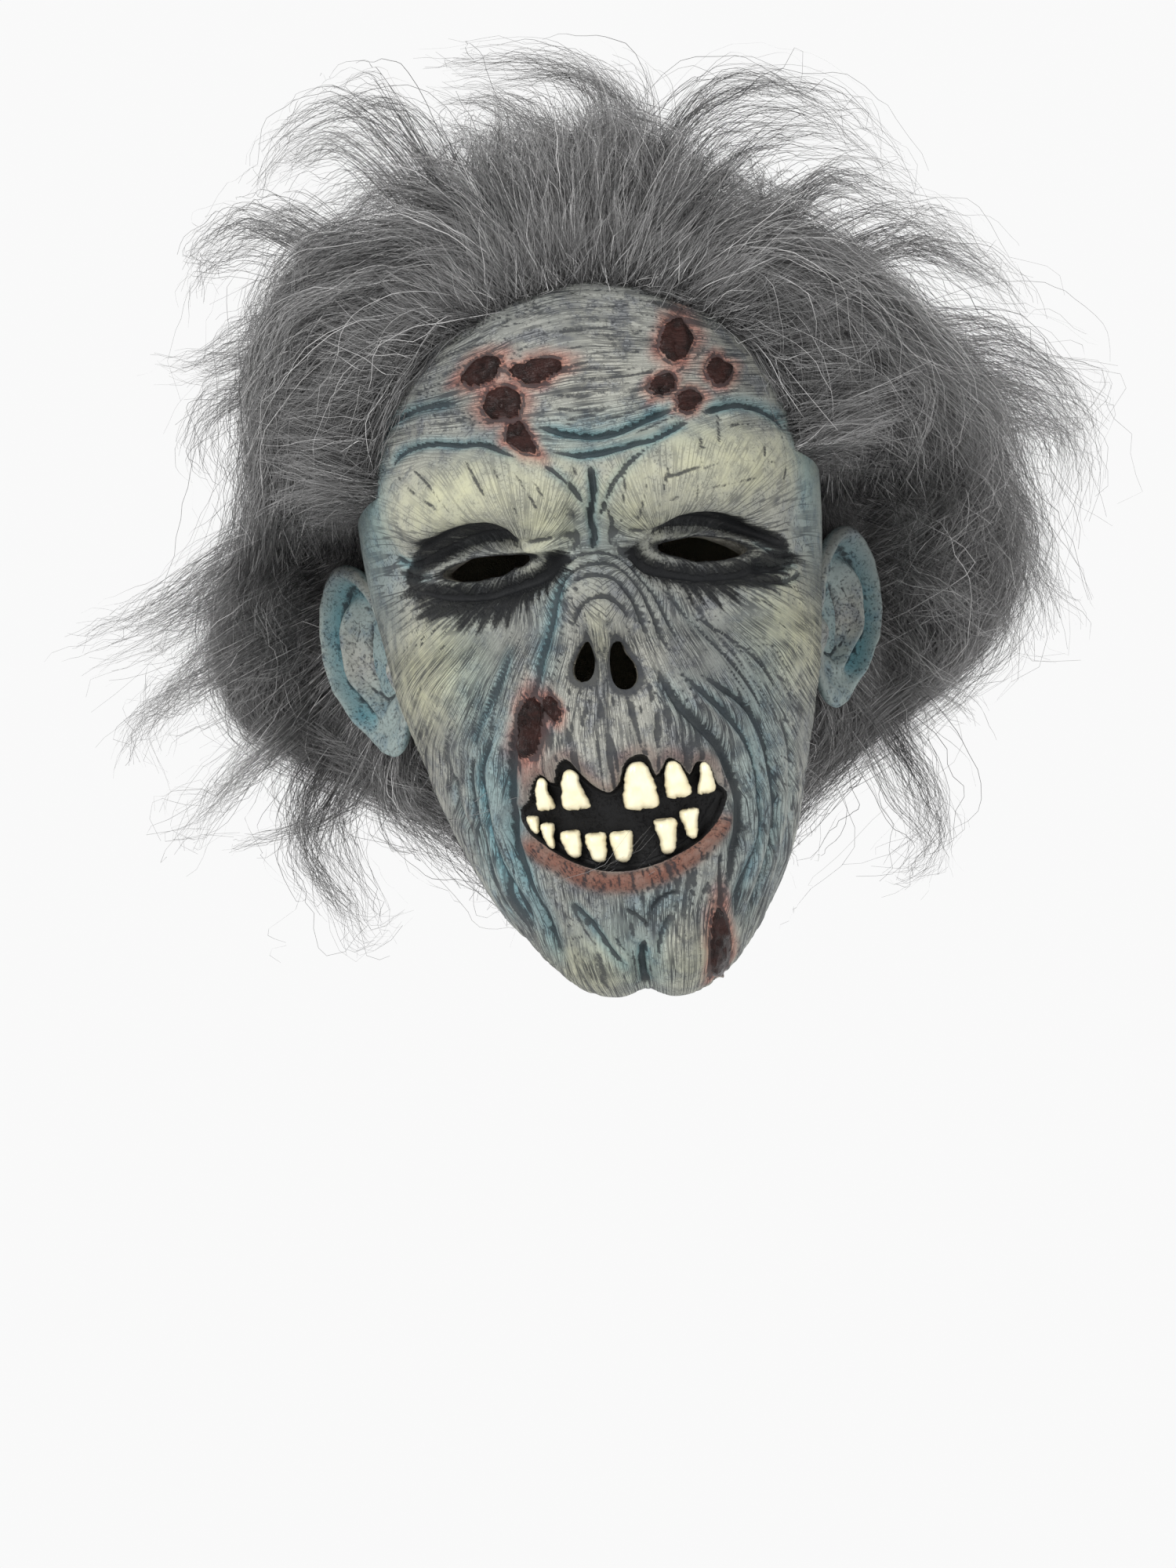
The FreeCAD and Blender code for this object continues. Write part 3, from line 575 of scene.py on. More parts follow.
class Radial:
    """Outer surface of some nodes as a smooth radius over direction from a centre, with its gaps closed."""

    def __init__(self, nodes, centre, turns=240, rises=200):
        co, polys = [], []
        for node in nodes:
            polys += [[len(co) + k for k in p.vertices] for p in node.data.polygons]
            co += [v.co / MM for v in node.data.vertices]
        self.bvh = BVHTree.FromPolygons(co, polys)
        self.centre = np.asarray(centre, float)
        self.theta = np.arange(turns) * FULL_TURN / turns
        self.phi = np.linspace(math.pi / 2, -math.pi / 2, rises)
        found = np.array([[self.cast(t, p) for p in self.phi] for t in self.theta])
        self.end = np.array([self.last_phi(t, r) for t, r in zip(self.theta, found)])
        self.radius = self.close(found)

    def cast(self, theta, phi):
        """Radius of the outermost surface in a direction, or nan in a gap."""
        outside, least = 500, 20
        d = ray(theta, phi)
        hit = self.bvh.ray_cast(Vector(self.centre + d * outside), Vector(-d))[0]
        reach = (np.array(hit) - self.centre) @ d if hit else -1.0
        return reach if reach > least else math.nan

    def last_phi(self, theta, row):
        """Where the surface ends below, by halving."""
        k = np.flatnonzero(~np.isnan(row)).max()
        high, low = self.phi[k], self.phi[min(k + 1, len(self.phi) - 1)]
        for _ in range(9):
            mid = (high + low) / 2
            high, low = (high, mid) if math.isnan(self.cast(theta, mid)) else (mid, low)
        return high

    @staticmethod
    def close(radius):
        """Fills the gaps and smooths away the facets."""
        gap = np.isnan(radius)
        r = np.where(gap, np.nanmean(radius), radius)
        for _ in range(600):
            r = np.where(gap, neighbours(r), r)
        for _ in range(2):
            r = 0.5 * r + 0.5 * neighbours(r)
        return r

    def reach(self, theta, phi):
        """Radius in any direction, by cubic interpolation."""
        turns, rises = self.radius.shape
        a = (theta / FULL_TURN * turns) % turns
        b = np.clip((math.pi / 2 - phi) / math.pi * (rises - 1), 0, rises - 1)
        ia, ib = np.floor(a).astype(int), np.floor(b).astype(int)
        wa, wb = cubic(a - ia), cubic(b - ib)
        r = 0.0
        for j in range(4):
            for k in range(4):
                r = r + wa[j] * wb[k] * self.radius[(ia + j - 1) % turns, np.clip(ib + k - 1, 0, rises - 1)]
        return r

    def at(self, theta, phi):
        """Points of the closed surface."""
        return self.centre + ray(theta, phi) * self.reach(theta, phi)[..., None]

    def along(self, directions):
        """Radius in unit directions."""
        x, y, z = np.moveaxis(directions, -1, 0)
        return self.reach(np.arctan2(x, -y), np.arcsin(np.clip(z, -1, 1)))

    def lower_edge(self, theta):
        """Angle up from level at which the surface ends below."""
        turns, ends = np.append(self.theta, FULL_TURN), np.append(self.end, self.end[0])
        return np.interp(theta % FULL_TURN, turns, ends)


def neighbours(r):
    """Mean of the four neighbours on a grid closed round its first axis."""
    up, down = np.roll(r, 1, 1), np.roll(r, -1, 1)
    up[:, 0], down[:, -1] = r[:, 0], r[:, -1]
    return (np.roll(r, 1, 0) + np.roll(r, -1, 0) + up + down) / 4


def cubic(t):
    """Catmull-Rom weights of four neighbours."""
    return (0.5 * (-t + 2 * t ** 2 - t ** 3), 0.5 * (2 - 5 * t ** 2 + 3 * t ** 3),
            0.5 * (t + 4 * t ** 2 - 3 * t ** 3), 0.5 * (-t ** 2 + t ** 3))


def columns():
    """Angles round the head, close together on the face."""
    t = np.linspace(-math.pi, math.pi, 4001)
    step = 0.0084 + 0.05 * smooth((np.abs(t) - FACE_HALF_ANGLE) / 0.7)
    count = np.concatenate([[0], np.cumsum(np.diff(t) / step[1:])])
    total = int(count[-1])
    return np.interp(np.arange(total) * count[-1] / total, count, t)


def skin_grid(shell, theta):
    """Grid of rises: each column runs from the crown to the skin's lower edge."""
    down = np.linspace(0.995, 0, 900)
    grid = np.zeros((len(theta), SKIN_ROWS))
    for j, (t, end) in enumerate(zip(theta, shell.lower_edge(theta))):
        phi = end + (math.pi / 2 - end) * down
        p = shell.at(np.full_like(phi, t), phi)
        gap = np.linalg.norm(np.diff(p, axis=0), axis=1)
        close = 1.0 / (FACE_STEP + 2.6 * smooth((p[1:, 2] + 30) / 10))
        weight = np.concatenate([[0], np.cumsum(gap * close)])
        grid[j] = np.interp(np.linspace(0, weight[-1], SKIN_ROWS), weight, phi)
    return grid


def grid_normals(p):
    """Outward normals of a closed-round grid of points."""
    across = np.roll(p, -1, 0) - np.roll(p, 1, 0)
    along = np.gradient(p, axis=1)
    n = np.cross(along, across)
    n /= np.linalg.norm(n, axis=-1, keepdims=True) + 1e-12
    outward = np.sign((n * (p - SCALP_CENTRE)).sum(-1, keepdims=True))
    return n * np.where(outward == 0, 1, outward)


def outside_holes(p):
    """Which faces of the grid are kept: all but those with four corners inside a hole of the face."""
    corner = holes_value(p[..., 0], p[..., 2]) < 1
    beside = np.roll(corner, -1, 0)
    return ~(corner[:, :-1] & corner[:, 1:] & beside[:, :-1] & beside[:, 1:])


def snap_to_holes(p, keep, normal):
    """Moves the points beside the removed faces onto the holes' outlines, along the surface."""
    beside_gap, beside_skin = np.zeros(p.shape[:2], bool), np.zeros(p.shape[:2], bool)
    for shift in ((0, 0), (0, 1), (1, 0), (1, 1)):
        beside_gap |= np.roll(np.pad(~keep, ((0, 0), (0, 1))), shift, (0, 1))
        beside_skin |= np.roll(np.pad(keep, ((0, 0), (0, 1))), shift, (0, 1))
    near = beside_gap & beside_skin
    px, pz = p[near, 0], p[near, 2]
    tiny, longest = 0.02, 0.3
    for _ in range(12):
        f = holes_value(px, pz)
        gx, gz = (holes_value(px + tiny, pz) - f) / tiny, (holes_value(px, pz + tiny) - f) / tiny
        step = (f - 1) / (gx * gx + gz * gz + 1e-6)
        px, pz = px - np.clip(step * gx, -longest, longest), pz - np.clip(step * gz, -longest, longest)
    slide = normal[near, 0] * (px - p[near, 0]) + normal[near, 2] * (pz - p[near, 2])
    p[near, 1] -= slide / np.minimum(normal[near, 1], -0.3)
    p[near, 0], p[near, 2] = px, pz
    return p


def quad_faces(columns_round, rows, keep=slice(None), flip=False):
    """Quads of a grid that is closed round its columns."""
    j, i = np.meshgrid(np.arange(columns_round), np.arange(rows - 1), indexing="ij")
    k = (j + 1) % columns_round
    q = np.stack([j * rows + i, j * rows + i + 1, k * rows + i + 1, k * rows + i], -1)[keep].reshape(-1, 4)
    return q[:, ::-1] if flip else q


def make_mesh(name, verts_mm, faces, attributes, uv=None):
    """Mesh object from arrays; faces is a list of arrays of quads."""
    me = bpy.data.meshes.new(name)
    me.vertices.add(len(verts_mm))
    me.vertices.foreach_set("co", (np.asarray(verts_mm) * MM).astype(np.float32).ravel())
    quads = np.concatenate(faces)
    loops = quads.ravel()
    me.loops.add(len(loops))
    me.loops.foreach_set("vertex_index", loops.astype(np.int32))
    me.polygons.add(len(quads))
    me.polygons.foreach_set("loop_start", np.arange(0, len(loops), 4, dtype=np.int32))
    me.update(calc_edges=True)
    me.validate()
    for key, values in attributes.items():
        layer = me.attributes.new(key, "FLOAT", "POINT")
        layer.data.foreach_set("value", np.asarray(values, np.float32))
    if uv is not None:
        layer = me.uv_layers.new(name="OFBake")
        layer.data.foreach_set("uv", uv[loops].astype(np.float32).ravel())
    me.polygons.foreach_set("use_smooth", np.ones(len(me.polygons), bool))
    ob = bpy.data.objects.new(name, me)
    bpy.context.scene.collection.objects.link(ob)
    return ob


def inner_rows(keep):
    """Rows that the inner side of the skin has: one in a few, and all of them beside a hole."""
    used = np.zeros(SKIN_ROWS, bool)
    used[::INNER_STRIDE] = True
    used[-1] = True
    for first, last in split_runs(np.flatnonzero((~keep).any(0))):
        used[max(first - 2, 0):last + 4] = True
    return np.flatnonzero(used)


def split_runs(indices):
    """(first, last) of each run of consecutive numbers."""
    breaks = np.flatnonzero(np.diff(indices) > 1)
    firsts = np.concatenate([[indices[0]], indices[breaks + 1]])
    lasts = np.concatenate([indices[breaks], [indices[-1]]])
    return list(zip(firsts, lasts))


def rim_faces(keep, remap):
    """Walls between the outer and inner grids round each hole and along the lower edge."""
    count, rows = remap.shape
    outer = np.arange(count * rows).reshape(count, rows)
    walls = []
    for j, i in zip(*np.nonzero(~keep)):
        before, after = (j - 1) % count, (j + 1) % count
        if keep[before, i]:
            walls.append(((j, i), (j, i + 1)))
        if keep[after, i]:
            walls.append(((after, i + 1), (after, i)))
        if i > 0 and keep[j, i - 1]:
            walls.append(((after, i), (j, i)))
        if i < rows - 2 and keep[j, i + 1]:
            walls.append(((j, i + 1), (after, i + 1)))
    walls += [((j, rows - 1), ((j + 1) % count, rows - 1)) for j in range(count)]
    return np.array([(outer[a], outer[b], remap[b], remap[a]) for a, b in walls])


def skin_uv(count, kept_rows):
    """The outer side fills most of the square and the inner side a strip beside it."""
    u = np.repeat(np.arange(count)[:, None] / (count - 1), SKIN_ROWS, 1)
    v = np.repeat(np.arange(SKIN_ROWS)[None] / (SKIN_ROWS - 1), count, 0)
    outer = np.stack([u * 0.84 + 0.005, v * 0.99 + 0.005], -1)
    inner = np.stack([u * 0.14 + 0.855, v * 0.99 + 0.005], -1)
    return np.vstack([outer.reshape(-1, 2), inner[:, kept_rows].reshape(-1, 2)])


def blur(a, size):
    """Box blur over a grid that is closed round its first axis."""
    for axis in (0, 1):
        total = np.zeros_like(a)
        for k in range(-size, size + 1):
            total += np.roll(a, k, axis)
        a = total / (2 * size + 1)
    return a


def concavity(relief, size):
    """0 on flats and ridges, up to 1 in grooves."""
    return np.clip((blur(relief, size) - relief) * 1.6 - 0.12, 0, 1)


def build_skin():
    """The sculpted outer side of the skin, its inner side, and the walls that join them at the edges."""
    shell = Radial([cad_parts["latex_skin"]], SCALP_CENTRE)
    theta = columns()
    count = len(theta)
    around = np.repeat(theta[:, None], SKIN_ROWS, 1)
    base = shell.at(around, skin_grid(shell, theta))
    front = smooth(np.cos(around) / 0.35)
    keep = outside_holes(base) | (front[:, :-1] <= 0)
    normal = grid_normals(base)
    base = snap_to_holes(base, keep, normal)
    x, z = base[..., 0], base[..., 2]
    sculpt = Sculpt(x.ravel(), z.ravel(), front.ravel())
    masks = {name: mask.reshape(x.shape) for name, mask in sculpt.masks.items()}
    facing = smooth((-normal[..., 1] - 0.12) / 0.2)
    for name in ("scab", "rust"):
        masks[name] *= facing
    relief = sculpt.relief.reshape(x.shape) * front
    rough = 0.25 * cloud(x / 21, z / 17, 81) + 0.05 * noise(x / 1.6, z / 1.6, 84)
    outer = base + normal * (relief + rough * (0.3 + 0.7 * front))[..., None]
    inner = base - normal * WALL + normal * np.minimum(relief, 0)[..., None]
    wash = np.maximum(masks["dark"], 1.1 * concavity(relief, 3))
    masks["dark"] = np.clip(wash * (0.35 + 0.65 * front), 0, 1)

    kept_rows = inner_rows(keep)
    upper, lower = kept_rows[:-1], kept_rows[1:]
    inner_count = count * len(kept_rows)
    remap = np.full(x.shape, -1)
    remap[:, kept_rows] = np.arange(inner_count).reshape(count, -1) + x.size
    right = np.roll(remap, -1, 0)
    inner_quads = np.stack([remap[:, upper], right[:, upper], right[:, lower], remap[:, lower]], -1)
    faces = [quad_faces(count, SKIN_ROWS, keep), inner_quads[keep[:, upper]], rim_faces(keep, remap)]
    verts = np.vstack([outer.reshape(-1, 3), inner[:, kept_rows].reshape(-1, 3)])
    attributes = {name: np.append(mask.ravel(), np.zeros(inner_count)) for name, mask in masks.items()}
    attributes["inside"] = np.append(np.zeros(x.size), np.ones(inner_count))
    return make_mesh("latex_skin_painted", verts, faces, attributes, skin_uv(count, kept_rows)), shell


# ---- ears and teeth --------------------------------------------------------------------------

EAR_FLARE = math.radians(38)
# Half the depth of each ear, front to back, half its height, and how far its middle is raised.
EAR_SIZE = {"left_ear": (17.0, 28.5, 2.5), "right_ear": (18.5, 31.0, 0.5)}
EAR_RINGS = 44
EAR_SPOKES = 150
# Forms of an ear on a disc of radius 1, nose to nape and lobe to top: middle, half widths, turn, height.
EAR_FORMS = [
    (-0.16, -0.06, 0.26, 0.30, 0, -7.0), (-0.70, -0.16, 0.13, 0.15, 0, 4.0),
    (-0.22, -0.52, 0.14, 0.09, 0, 1.8), (-0.28, -0.84, 0.25, 0.12, 0, 1.4),
    (-0.05, 0.5, 0.16, 0.13, 0, -2.0),
]


def angle_gap(angle, middle):
    """How far each angle is from a middle one given in degrees."""
    gap = np.abs(angle - math.radians(middle)) % FULL_TURN
    return np.minimum(gap, FULL_TURN - gap)


def with_back(values, back):
    """A front grid's values, then one value for the edge ring and the back grid."""
    rest = np.full((values.shape[0], values.shape[1] + 1), back)
    return np.concatenate([values, rest], 1).ravel()


def build_ear(side, node):
    """A shell of an ear: rolled rim, groove, inner ridge, bowl, and lobe."""
    low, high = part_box(node)
    half_depth, half_height, raised = EAR_SIZE[node]
    centre = (np.array(low) + np.array(high)) / 2 / MM + [0, 0, raised]
    rear = np.array([side * math.sin(EAR_FLARE), math.cos(EAR_FLARE), 0.0])
    out = np.array([side * math.cos(EAR_FLARE), -math.sin(EAR_FLARE), 0.0])
    up = np.array([side * 0.10, 0.14, 0.985])
    r = np.repeat(np.linspace(0.0, 1.0, EAR_RINGS)[None], EAR_SPOKES, 0)
    angle = np.repeat(np.linspace(0, FULL_TURN, EAR_SPOKES, endpoint=False)[:, None], EAR_RINGS, 1)
    down = smooth((-np.sin(angle) - 0.1) / 0.9)
    a = r * np.cos(angle) * (1 - 0.22 * down) - 0.26 * down * r
    b = r * np.sin(angle)
    helix = 1.0 - smooth((angle_gap(angle, 62) - 1.75) / 0.5)
    ridge = 1.0 - smooth((angle_gap(angle, 5) - 1.2) / 0.5)
    height = helix * (3.4 * peak(r, 0.92, 0.085) - 2.6 * peak(r, 0.735, 0.08)) - 3.2 * (1 - r * r)
    height += ridge * 2.6 * peak(r, 0.56, 0.09) + bells(a, b, EAR_FORMS)
    lines = grooves(angle * 2.2, r * 13 + 0.6 * noise(a * 3, b * 3, 91), 92, 0.15)
    height += 0.35 * cloud(a * 4, b * 5, 93) - 0.25 * lines
    back = -(2.2 + 4.2 * np.sqrt(np.clip(1 - r * r, 0, 1)))

    def place(lift, grow=1.0):
        flat = (a * half_depth * grow)[..., None] * rear + (b * half_height * grow)[..., None] * up
        return centre + flat + lift[..., None] * out

    edge = place((height + back) / 2, 1.02)[:, -1:]
    grid = np.concatenate([place(height), edge, place(back)[:, ::-1]], 1)
    dark = concavity(height, 2) + 0.22 * lines + 1.5 * bell(a, b, -0.16, -0.02, 0.20, 0.26)
    teal = helix * peak(r, 0.76, 0.14) + 0.4 * down + 0.4 * bell(a, b, 0, 0.4, 0.3, 0.2)
    attributes = {"dark": with_back(np.clip(dark, 0, 1), 0.1), "teal": with_back(np.clip(teal, 0, 1), 0.5)}
    faces = quad_faces(EAR_SPOKES, grid.shape[1], flip=side > 0)
    ob = make_mesh(node + "_painted", grid.reshape(-1, 3), [faces], attributes)
    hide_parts(node)
    return ob


# Teeth: sideways lean of the root, how far each side is chipped in (-X side, +X side),
# squareness of the biting edge, and how tall the tooth is for its CAD solid.
TEETH = {
    "upper_tooth_1": (-0.30, 0.00, 0.45, 0.9, 1.05), "upper_tooth_2": (-0.35, 0.00, 0.40, 0.9, 1.05),
    "upper_tooth_3": (-0.15, 0.05, 0.05, 1.0, 1.22), "upper_tooth_4": (-0.30, 0.00, 0.10, 0.9, 1.06),
    "upper_tooth_5": (0.10, 0.45, 0.00, 0.8, 1.05),
    "lower_tooth_1": (0.45, 0.05, 0.10, 0.7, 0.95), "lower_tooth_2": (0.45, 0.00, 0.40, 0.7, 1.05),
    "lower_tooth_3": (0.40, 0.00, 0.00, 1.0, 1.05), "lower_tooth_4": (0.30, 0.10, 0.00, 1.1, 1.05),
    "lower_tooth_5": (0.05, 0.05, 0.05, 1.1, 1.05), "lower_tooth_6": (0.00, 0.30, 0.10, 1.1, 1.05),
    "lower_tooth_7": (0.15, 0.15, 0.30, 0.8, 1.05),
}
# Half width of a tooth from its root, 0, to its biting edge, 1.
TOOTH_WIDTHS = ([0.0, 0.05, 0.15, 0.35, 0.6, 0.8, 0.93, 0.985, 1.0],
                [0.12, 0.42, 0.64, 0.83, 0.96, 1.0, 0.96, 0.82, 0.62])
TOOTH_LEVELS = 34
TOOTH_TURNS = 40
COMMON_STRETCH = 1.05


def build_tooth(number, node, lean, chip_low, chip_high, square, stretch):
    """One tooth: a rounded, slightly ridged and chipped cap that stands out of the mouth."""
    low, high = (np.array(c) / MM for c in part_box(node))
    sign = -1.0 if node.startswith("upper") else 1.0
    half_height = (high[2] - low[2]) / 2 * stretch
    half_width = (high[0] - low[0]) / 2 * 1.02
    t = np.repeat(np.linspace(0, 1, TOOTH_LEVELS)[None], TOOTH_TURNS, 0)
    side = np.repeat(np.linspace(-1, 1, TOOTH_TURNS)[:, None], TOOTH_LEVELS, 1)
    level = 2 * t - 1
    width = np.interp(t, *TOOTH_WIDTHS) ** (1 / square)
    chips = noise(t * 6 + 3 * number, number, 101) * 0.06 + noise(t * 17, number, 102) * 0.035
    reach_low = width * (1 - chip_low * peak(t, 0.45, 0.3)) + chips
    reach_high = width * (1 - chip_high * peak(t, 0.45, 0.3)) - chips
    x = half_width * (side * np.where(side < 0, reach_low, reach_high) + lean * (1 - t) ** 1.3 * 0.9)
    ragged = 0.05 * noise(side * 4 + number, 3, 103) * smooth((t - 0.8) / 0.2)
    z = sign * half_height * (level + ragged)
    dome = np.sqrt(np.clip(1 - np.abs(side) ** 4.5, 0, 1)) * np.sqrt(np.clip(1 - np.abs(level) ** 8, 0, 1))
    bulge = 0.9 * (1 - side ** 2) * (1 - level ** 2)
    ridges = 0.08 * noise(side * 3, t * 1.5 + number, 104) + 0.05 * noise(side * 7 + number, t * 7, 105)
    depth = 3.8 * dome + bulge + ridges
    centre = (low + high) / 2
    centre[2] -= sign * (stretch - COMMON_STRETCH) * (high[2] - low[2]) / 2
    front = np.stack([centre[0] + x, low[1] + 4.0 - depth, centre[2] + z], -1)
    rear = front.copy()
    rear[..., 1] = high[1] + 0.6
    rim = smooth((np.maximum(np.abs(side), level ** 2) - 0.86) / 0.14)
    grime = np.append(rim, np.ones_like(rim))
    verts = np.concatenate([front, rear]).reshape(-1, 3)
    ob = make_mesh(node + "_enamel", verts, [quad_faces(2 * TOOTH_TURNS, TOOTH_LEVELS)], {"grime": grime})
    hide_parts(node)
    return ob


# ---- hair --------------------------------------------------------------------------------------

HAIR_CENTRE = np.array([0.0, 20.0, -95.0])
FOREHEAD = np.array([2.0, -104.0, -84.0])      # the hair is swept away from here
PARTING = 8.0                                  # x that the hair falls away from on both sides
# Lower edge of the hair: z over x across the forehead, and z over y along the sides.
HAIRLINE = ([-66, -62, -59, -47.5, -35, -20, -7, 5.5, 19, 28.5, 42, 53.5, 60.5, 65, 66],
            [-84, -66, -58, -47, -39.5, -33.5, -30, -28.5, -31, -35.5, -41.5, -50.5, -61.5, -73, -88])
SIDE_LINE = ([-70, -58, -45, -20, 6, 16, 30, 60, 130], [-78, -88, -98, -104, -108, -150, -196, -206, -206])
TEMPLE_Y = -48.0          # the forehead's hairline ends here, and the side line starts
# Half widths of the dense pile at each height: z, towards -X, towards +X.
PILE_SIDES = ([-240, -205, -190, -178, -168, -158, -146, -125, -110, -94, -78, -42, -14, 5, 16, 24, 34],
              [28, 34, 43, 55, 76, 97, 119, 123, 116, 105, 98, 98, 90, 77, 62, 45, 24],
              [30, 38, 47, 62, 84, 108, 127, 141, 144, 144, 138, 108, 85, 58, 44, 26, 16])
# Tufts that break out of the pile: x and z along each, then how many strands it has
# as a share of a full tuft.
TUFTS = [
    ([(-31, 18), (-39, 36), (-65, 45), (-86, 36), (-98, 17)], 0.40),
    ([(-41, 20), (-63, 34), (-84, 28), (-96, 12)], 0.30),
    ([(-66, 10), (-95, 9), (-112, 0), (-120, -17)], 0.55),
    ([(-70, -20), (-97, -27), (-118, -33), (-135, -30)], 0.60),
    ([(-75, -36), (-102, -43), (-118, -51), (-121, -64), (-111, -75)], 0.50),
    ([(-74, -56), (-98, -63), (-116, -75)], 0.50),
    ([(-76, -79), (-108, -96), (-137, -112), (-170, -123)], 1.00),
    ([(-78, -89), (-106, -106), (-132, -123), (-148, -124)], 0.80),
    ([(-77, -109), (-112, -129), (-139, -142), (-149, -154), (-147, -168)], 0.80),
    ([(-78, -122), (-108, -152), (-130, -170), (-143, -182), (-127, -186)], 0.60),
    ([(-76, -136), (-96, -167), (-99, -187), (-91, -208), (-84, -219), (-68, -210)], 0.85),
    ([(-71, -150), (-71, -177), (-60, -195), (-52, -204)], 0.60),
    ([(-74, -143), (-87, -175), (-112, -185), (-132, -188)], 0.40),
    ([(24, 8), (40, 28), (67, 32), (92, 24), (107, 7), (110, -7)], 0.45),
    ([(37, 5), (58, 18), (88, 16), (107, 2)], 0.35),
    ([(55, -7), (87, 3), (109, -5), (115, -24)], 0.50),
    ([(67, -25), (104, -18), (130, -29), (143, -44), (147, -54)], 0.60),
    ([(71, -49), (110, -54), (142, -64), (158, -89), (156, -116)], 0.90),
    ([(73, -59), (115, -68), (147, -81), (152, -102), (151, -122)], 0.80),
    ([(74, -80), (112, -94), (139, -124), (143, -161)], 0.90),
    ([(75, -100), (102, -123), (126, -146), (134, -152)], 0.70),
    ([(76, -120), (93, -149), (114, -171), (116, -178)], 0.70),
    ([(74, -140), (86, -175), (95, -206), (88, -221), (75, -217)], 0.65),
    ([(70, -146), (70, -173), (65, -189)], 0.50),
    ([(74, -133), (91, -162), (104, -183)], 0.60),
    ([(13, 1), (22, 27), (18, 42), (-4, 50), (-40, 53)], 0.45),
    ([(23, 0), (29, 26), (21, 42), (2, 50)], 0.45),
    ([(3, 2), (-1, 27), (-16, 40), (-32, 46), (-39, 52)], 0.40),
    ([(-26, 12), (-17, 32), (-30, 38), (-43, 36)], 0.40),
]
PILE_LOCKS = 4600
TUFT_LOCKS = 26           # locks in a full tuft
HAIRLINE_LOCKS = 1500
NAPE_END = -182.0         # the pile's ends are gathered below this height
NAPE_HANG = 26.0          # how far they may hang below it
EAR_BACK = 4.0            # hair beside an ear stays behind this y at the head's side
STRAND_POINTS = 20
STRANDS_PER_LOCK = 15
STRANDS_PER_PIECE = 5000
SHADES = 64               # steps of grey that a strand can have
ROOM = (0.03, 9.0)        # how far strands may pass the CAD box: a share of its side, and millimetres


def random_directions(rng, count):
    """Unit vectors, evenly spread."""
    d = rng.normal(size=(count, 3))
    return d / np.linalg.norm(d, axis=1, keepdims=True)


def unit(v):
    """Vectors scaled to a length of 1."""
    return v / (np.linalg.norm(v, axis=-1, keepdims=True) + 1e-12)


def vectors(x, y, z):
    """Vectors from their coordinates, any of which may be a single number."""
    return np.stack(np.broadcast_arrays(x, y, z), -1)


def scalp_roots(shell, rng, count):
    """Points of the scalp inside the hairline, evenly spread."""
    d = random_directions(rng, count * 3)
    theta, phi = np.arctan2(d[:, 0], -d[:, 1]), np.arcsin(d[:, 2])
    p = shell.at(theta, phi)
    x, y, z = p.T
    above_edge = phi > shell.lower_edge(theta) + 0.02
    ragged = 1.2 * rng.normal(size=len(p))
    front = (y < TEMPLE_Y) & (z > np.interp(x, *HAIRLINE) + ragged) & (np.abs(x) < 67)
    side = (y >= TEMPLE_Y) & (z > np.interp(y, *SIDE_LINE) + 2 * ragged)
    return p[above_edge & (front | side)][:count]


def lock_flow(roots, out, side, rng):
    """Direction in which each lock is brushed: up and back in the middle, out and down at the sides."""
    x, y, z = roots.T
    sag = np.clip((-z - 5) / 90, 0, 1.2)
    sideways = vectors(np.sign(x - PARTING), 0.05, -0.25 - sag)
    upward = vectors(0.10 + 0.5 * noise(x / 20, y / 20, 200), 0.45, 0.95)
    flow = side[:, None] * sideways + (1 - side)[:, None] * upward + 0.30 * unit(roots - FOREHEAD)
    flow += 0.50 * np.stack([noise(x / 26 + k, y / 26 + z / 30, 210 + k) for k in range(3)], -1)
    flow += 0.20 * rng.normal(size=(len(roots), 3))
    return unit(flow - (flow * out).sum(1, keepdims=True) * out)


def lock_paths(roots, scalp, envelope, rng):
    """Middle line of every lock of the pile, from its root out to the outside."""
    count = len(roots)
    start = unit(roots - HAIR_CENTRE)
    side = smooth((np.abs(roots[:, 0] - PARTING) - 6) / 40)
    flow = lock_flow(roots, start, side, rng)
    s = np.linspace(0, 1, STRAND_POINTS)
    turn = (rng.uniform(0.30, 1.0, count) * (0.75 + 0.55 * side))[:, None] * s ** 1.05
    d = start[:, None] * np.cos(turn)[..., None] + flow[:, None] * np.sin(turn)[..., None]
    d[..., 2] -= (0.06 + 0.30 * side * rng.uniform(0.1, 1.3, count))[:, None] * s ** 2
    d = unit(d)
    low, high = scalp.along(d), envelope.along(d)
    dx, dy, dz = np.moveaxis(d, -1, 0)
    tufts = 1 + 0.13 * noise(dx * 3.1 + 5, dz * 3.6 + dy * 1.7, 221) + 0.09 * noise(dx * 8, dz * 8 + 3, 222)
    lift = rng.beta(2.4, 1.3, count)[:, None] * (1 - (1 - s) ** 2.3) * tufts
    path = HAIR_CENTRE + d * (low + (high - low).clip(1.0) * lift)[..., None]
    path[:, 0] = roots
    return clear_ears(gather_pile(path))


def gather_pile(path):
    """Draws the pile in at the nape and inside its half widths."""
    hanging = np.clip(NAPE_END - path[..., 2], 0, None)
    path[..., 2] = np.maximum(path[..., 2], NAPE_END) - NAPE_HANG * np.tanh(hanging / NAPE_HANG)
    x, z = path[..., 0], path[..., 2]
    heights, right, left = PILE_SIDES
    widest = np.where(x < 0, np.interp(z, heights, right), np.interp(z, heights, left))
    share = np.abs(x) / widest
    inner, spare = 0.8, 0.22
    squeezed = inner + spare * np.tanh((share - inner) / spare)
    path[..., 0] = np.where(share > inner, x * squeezed / share, x)
    return path


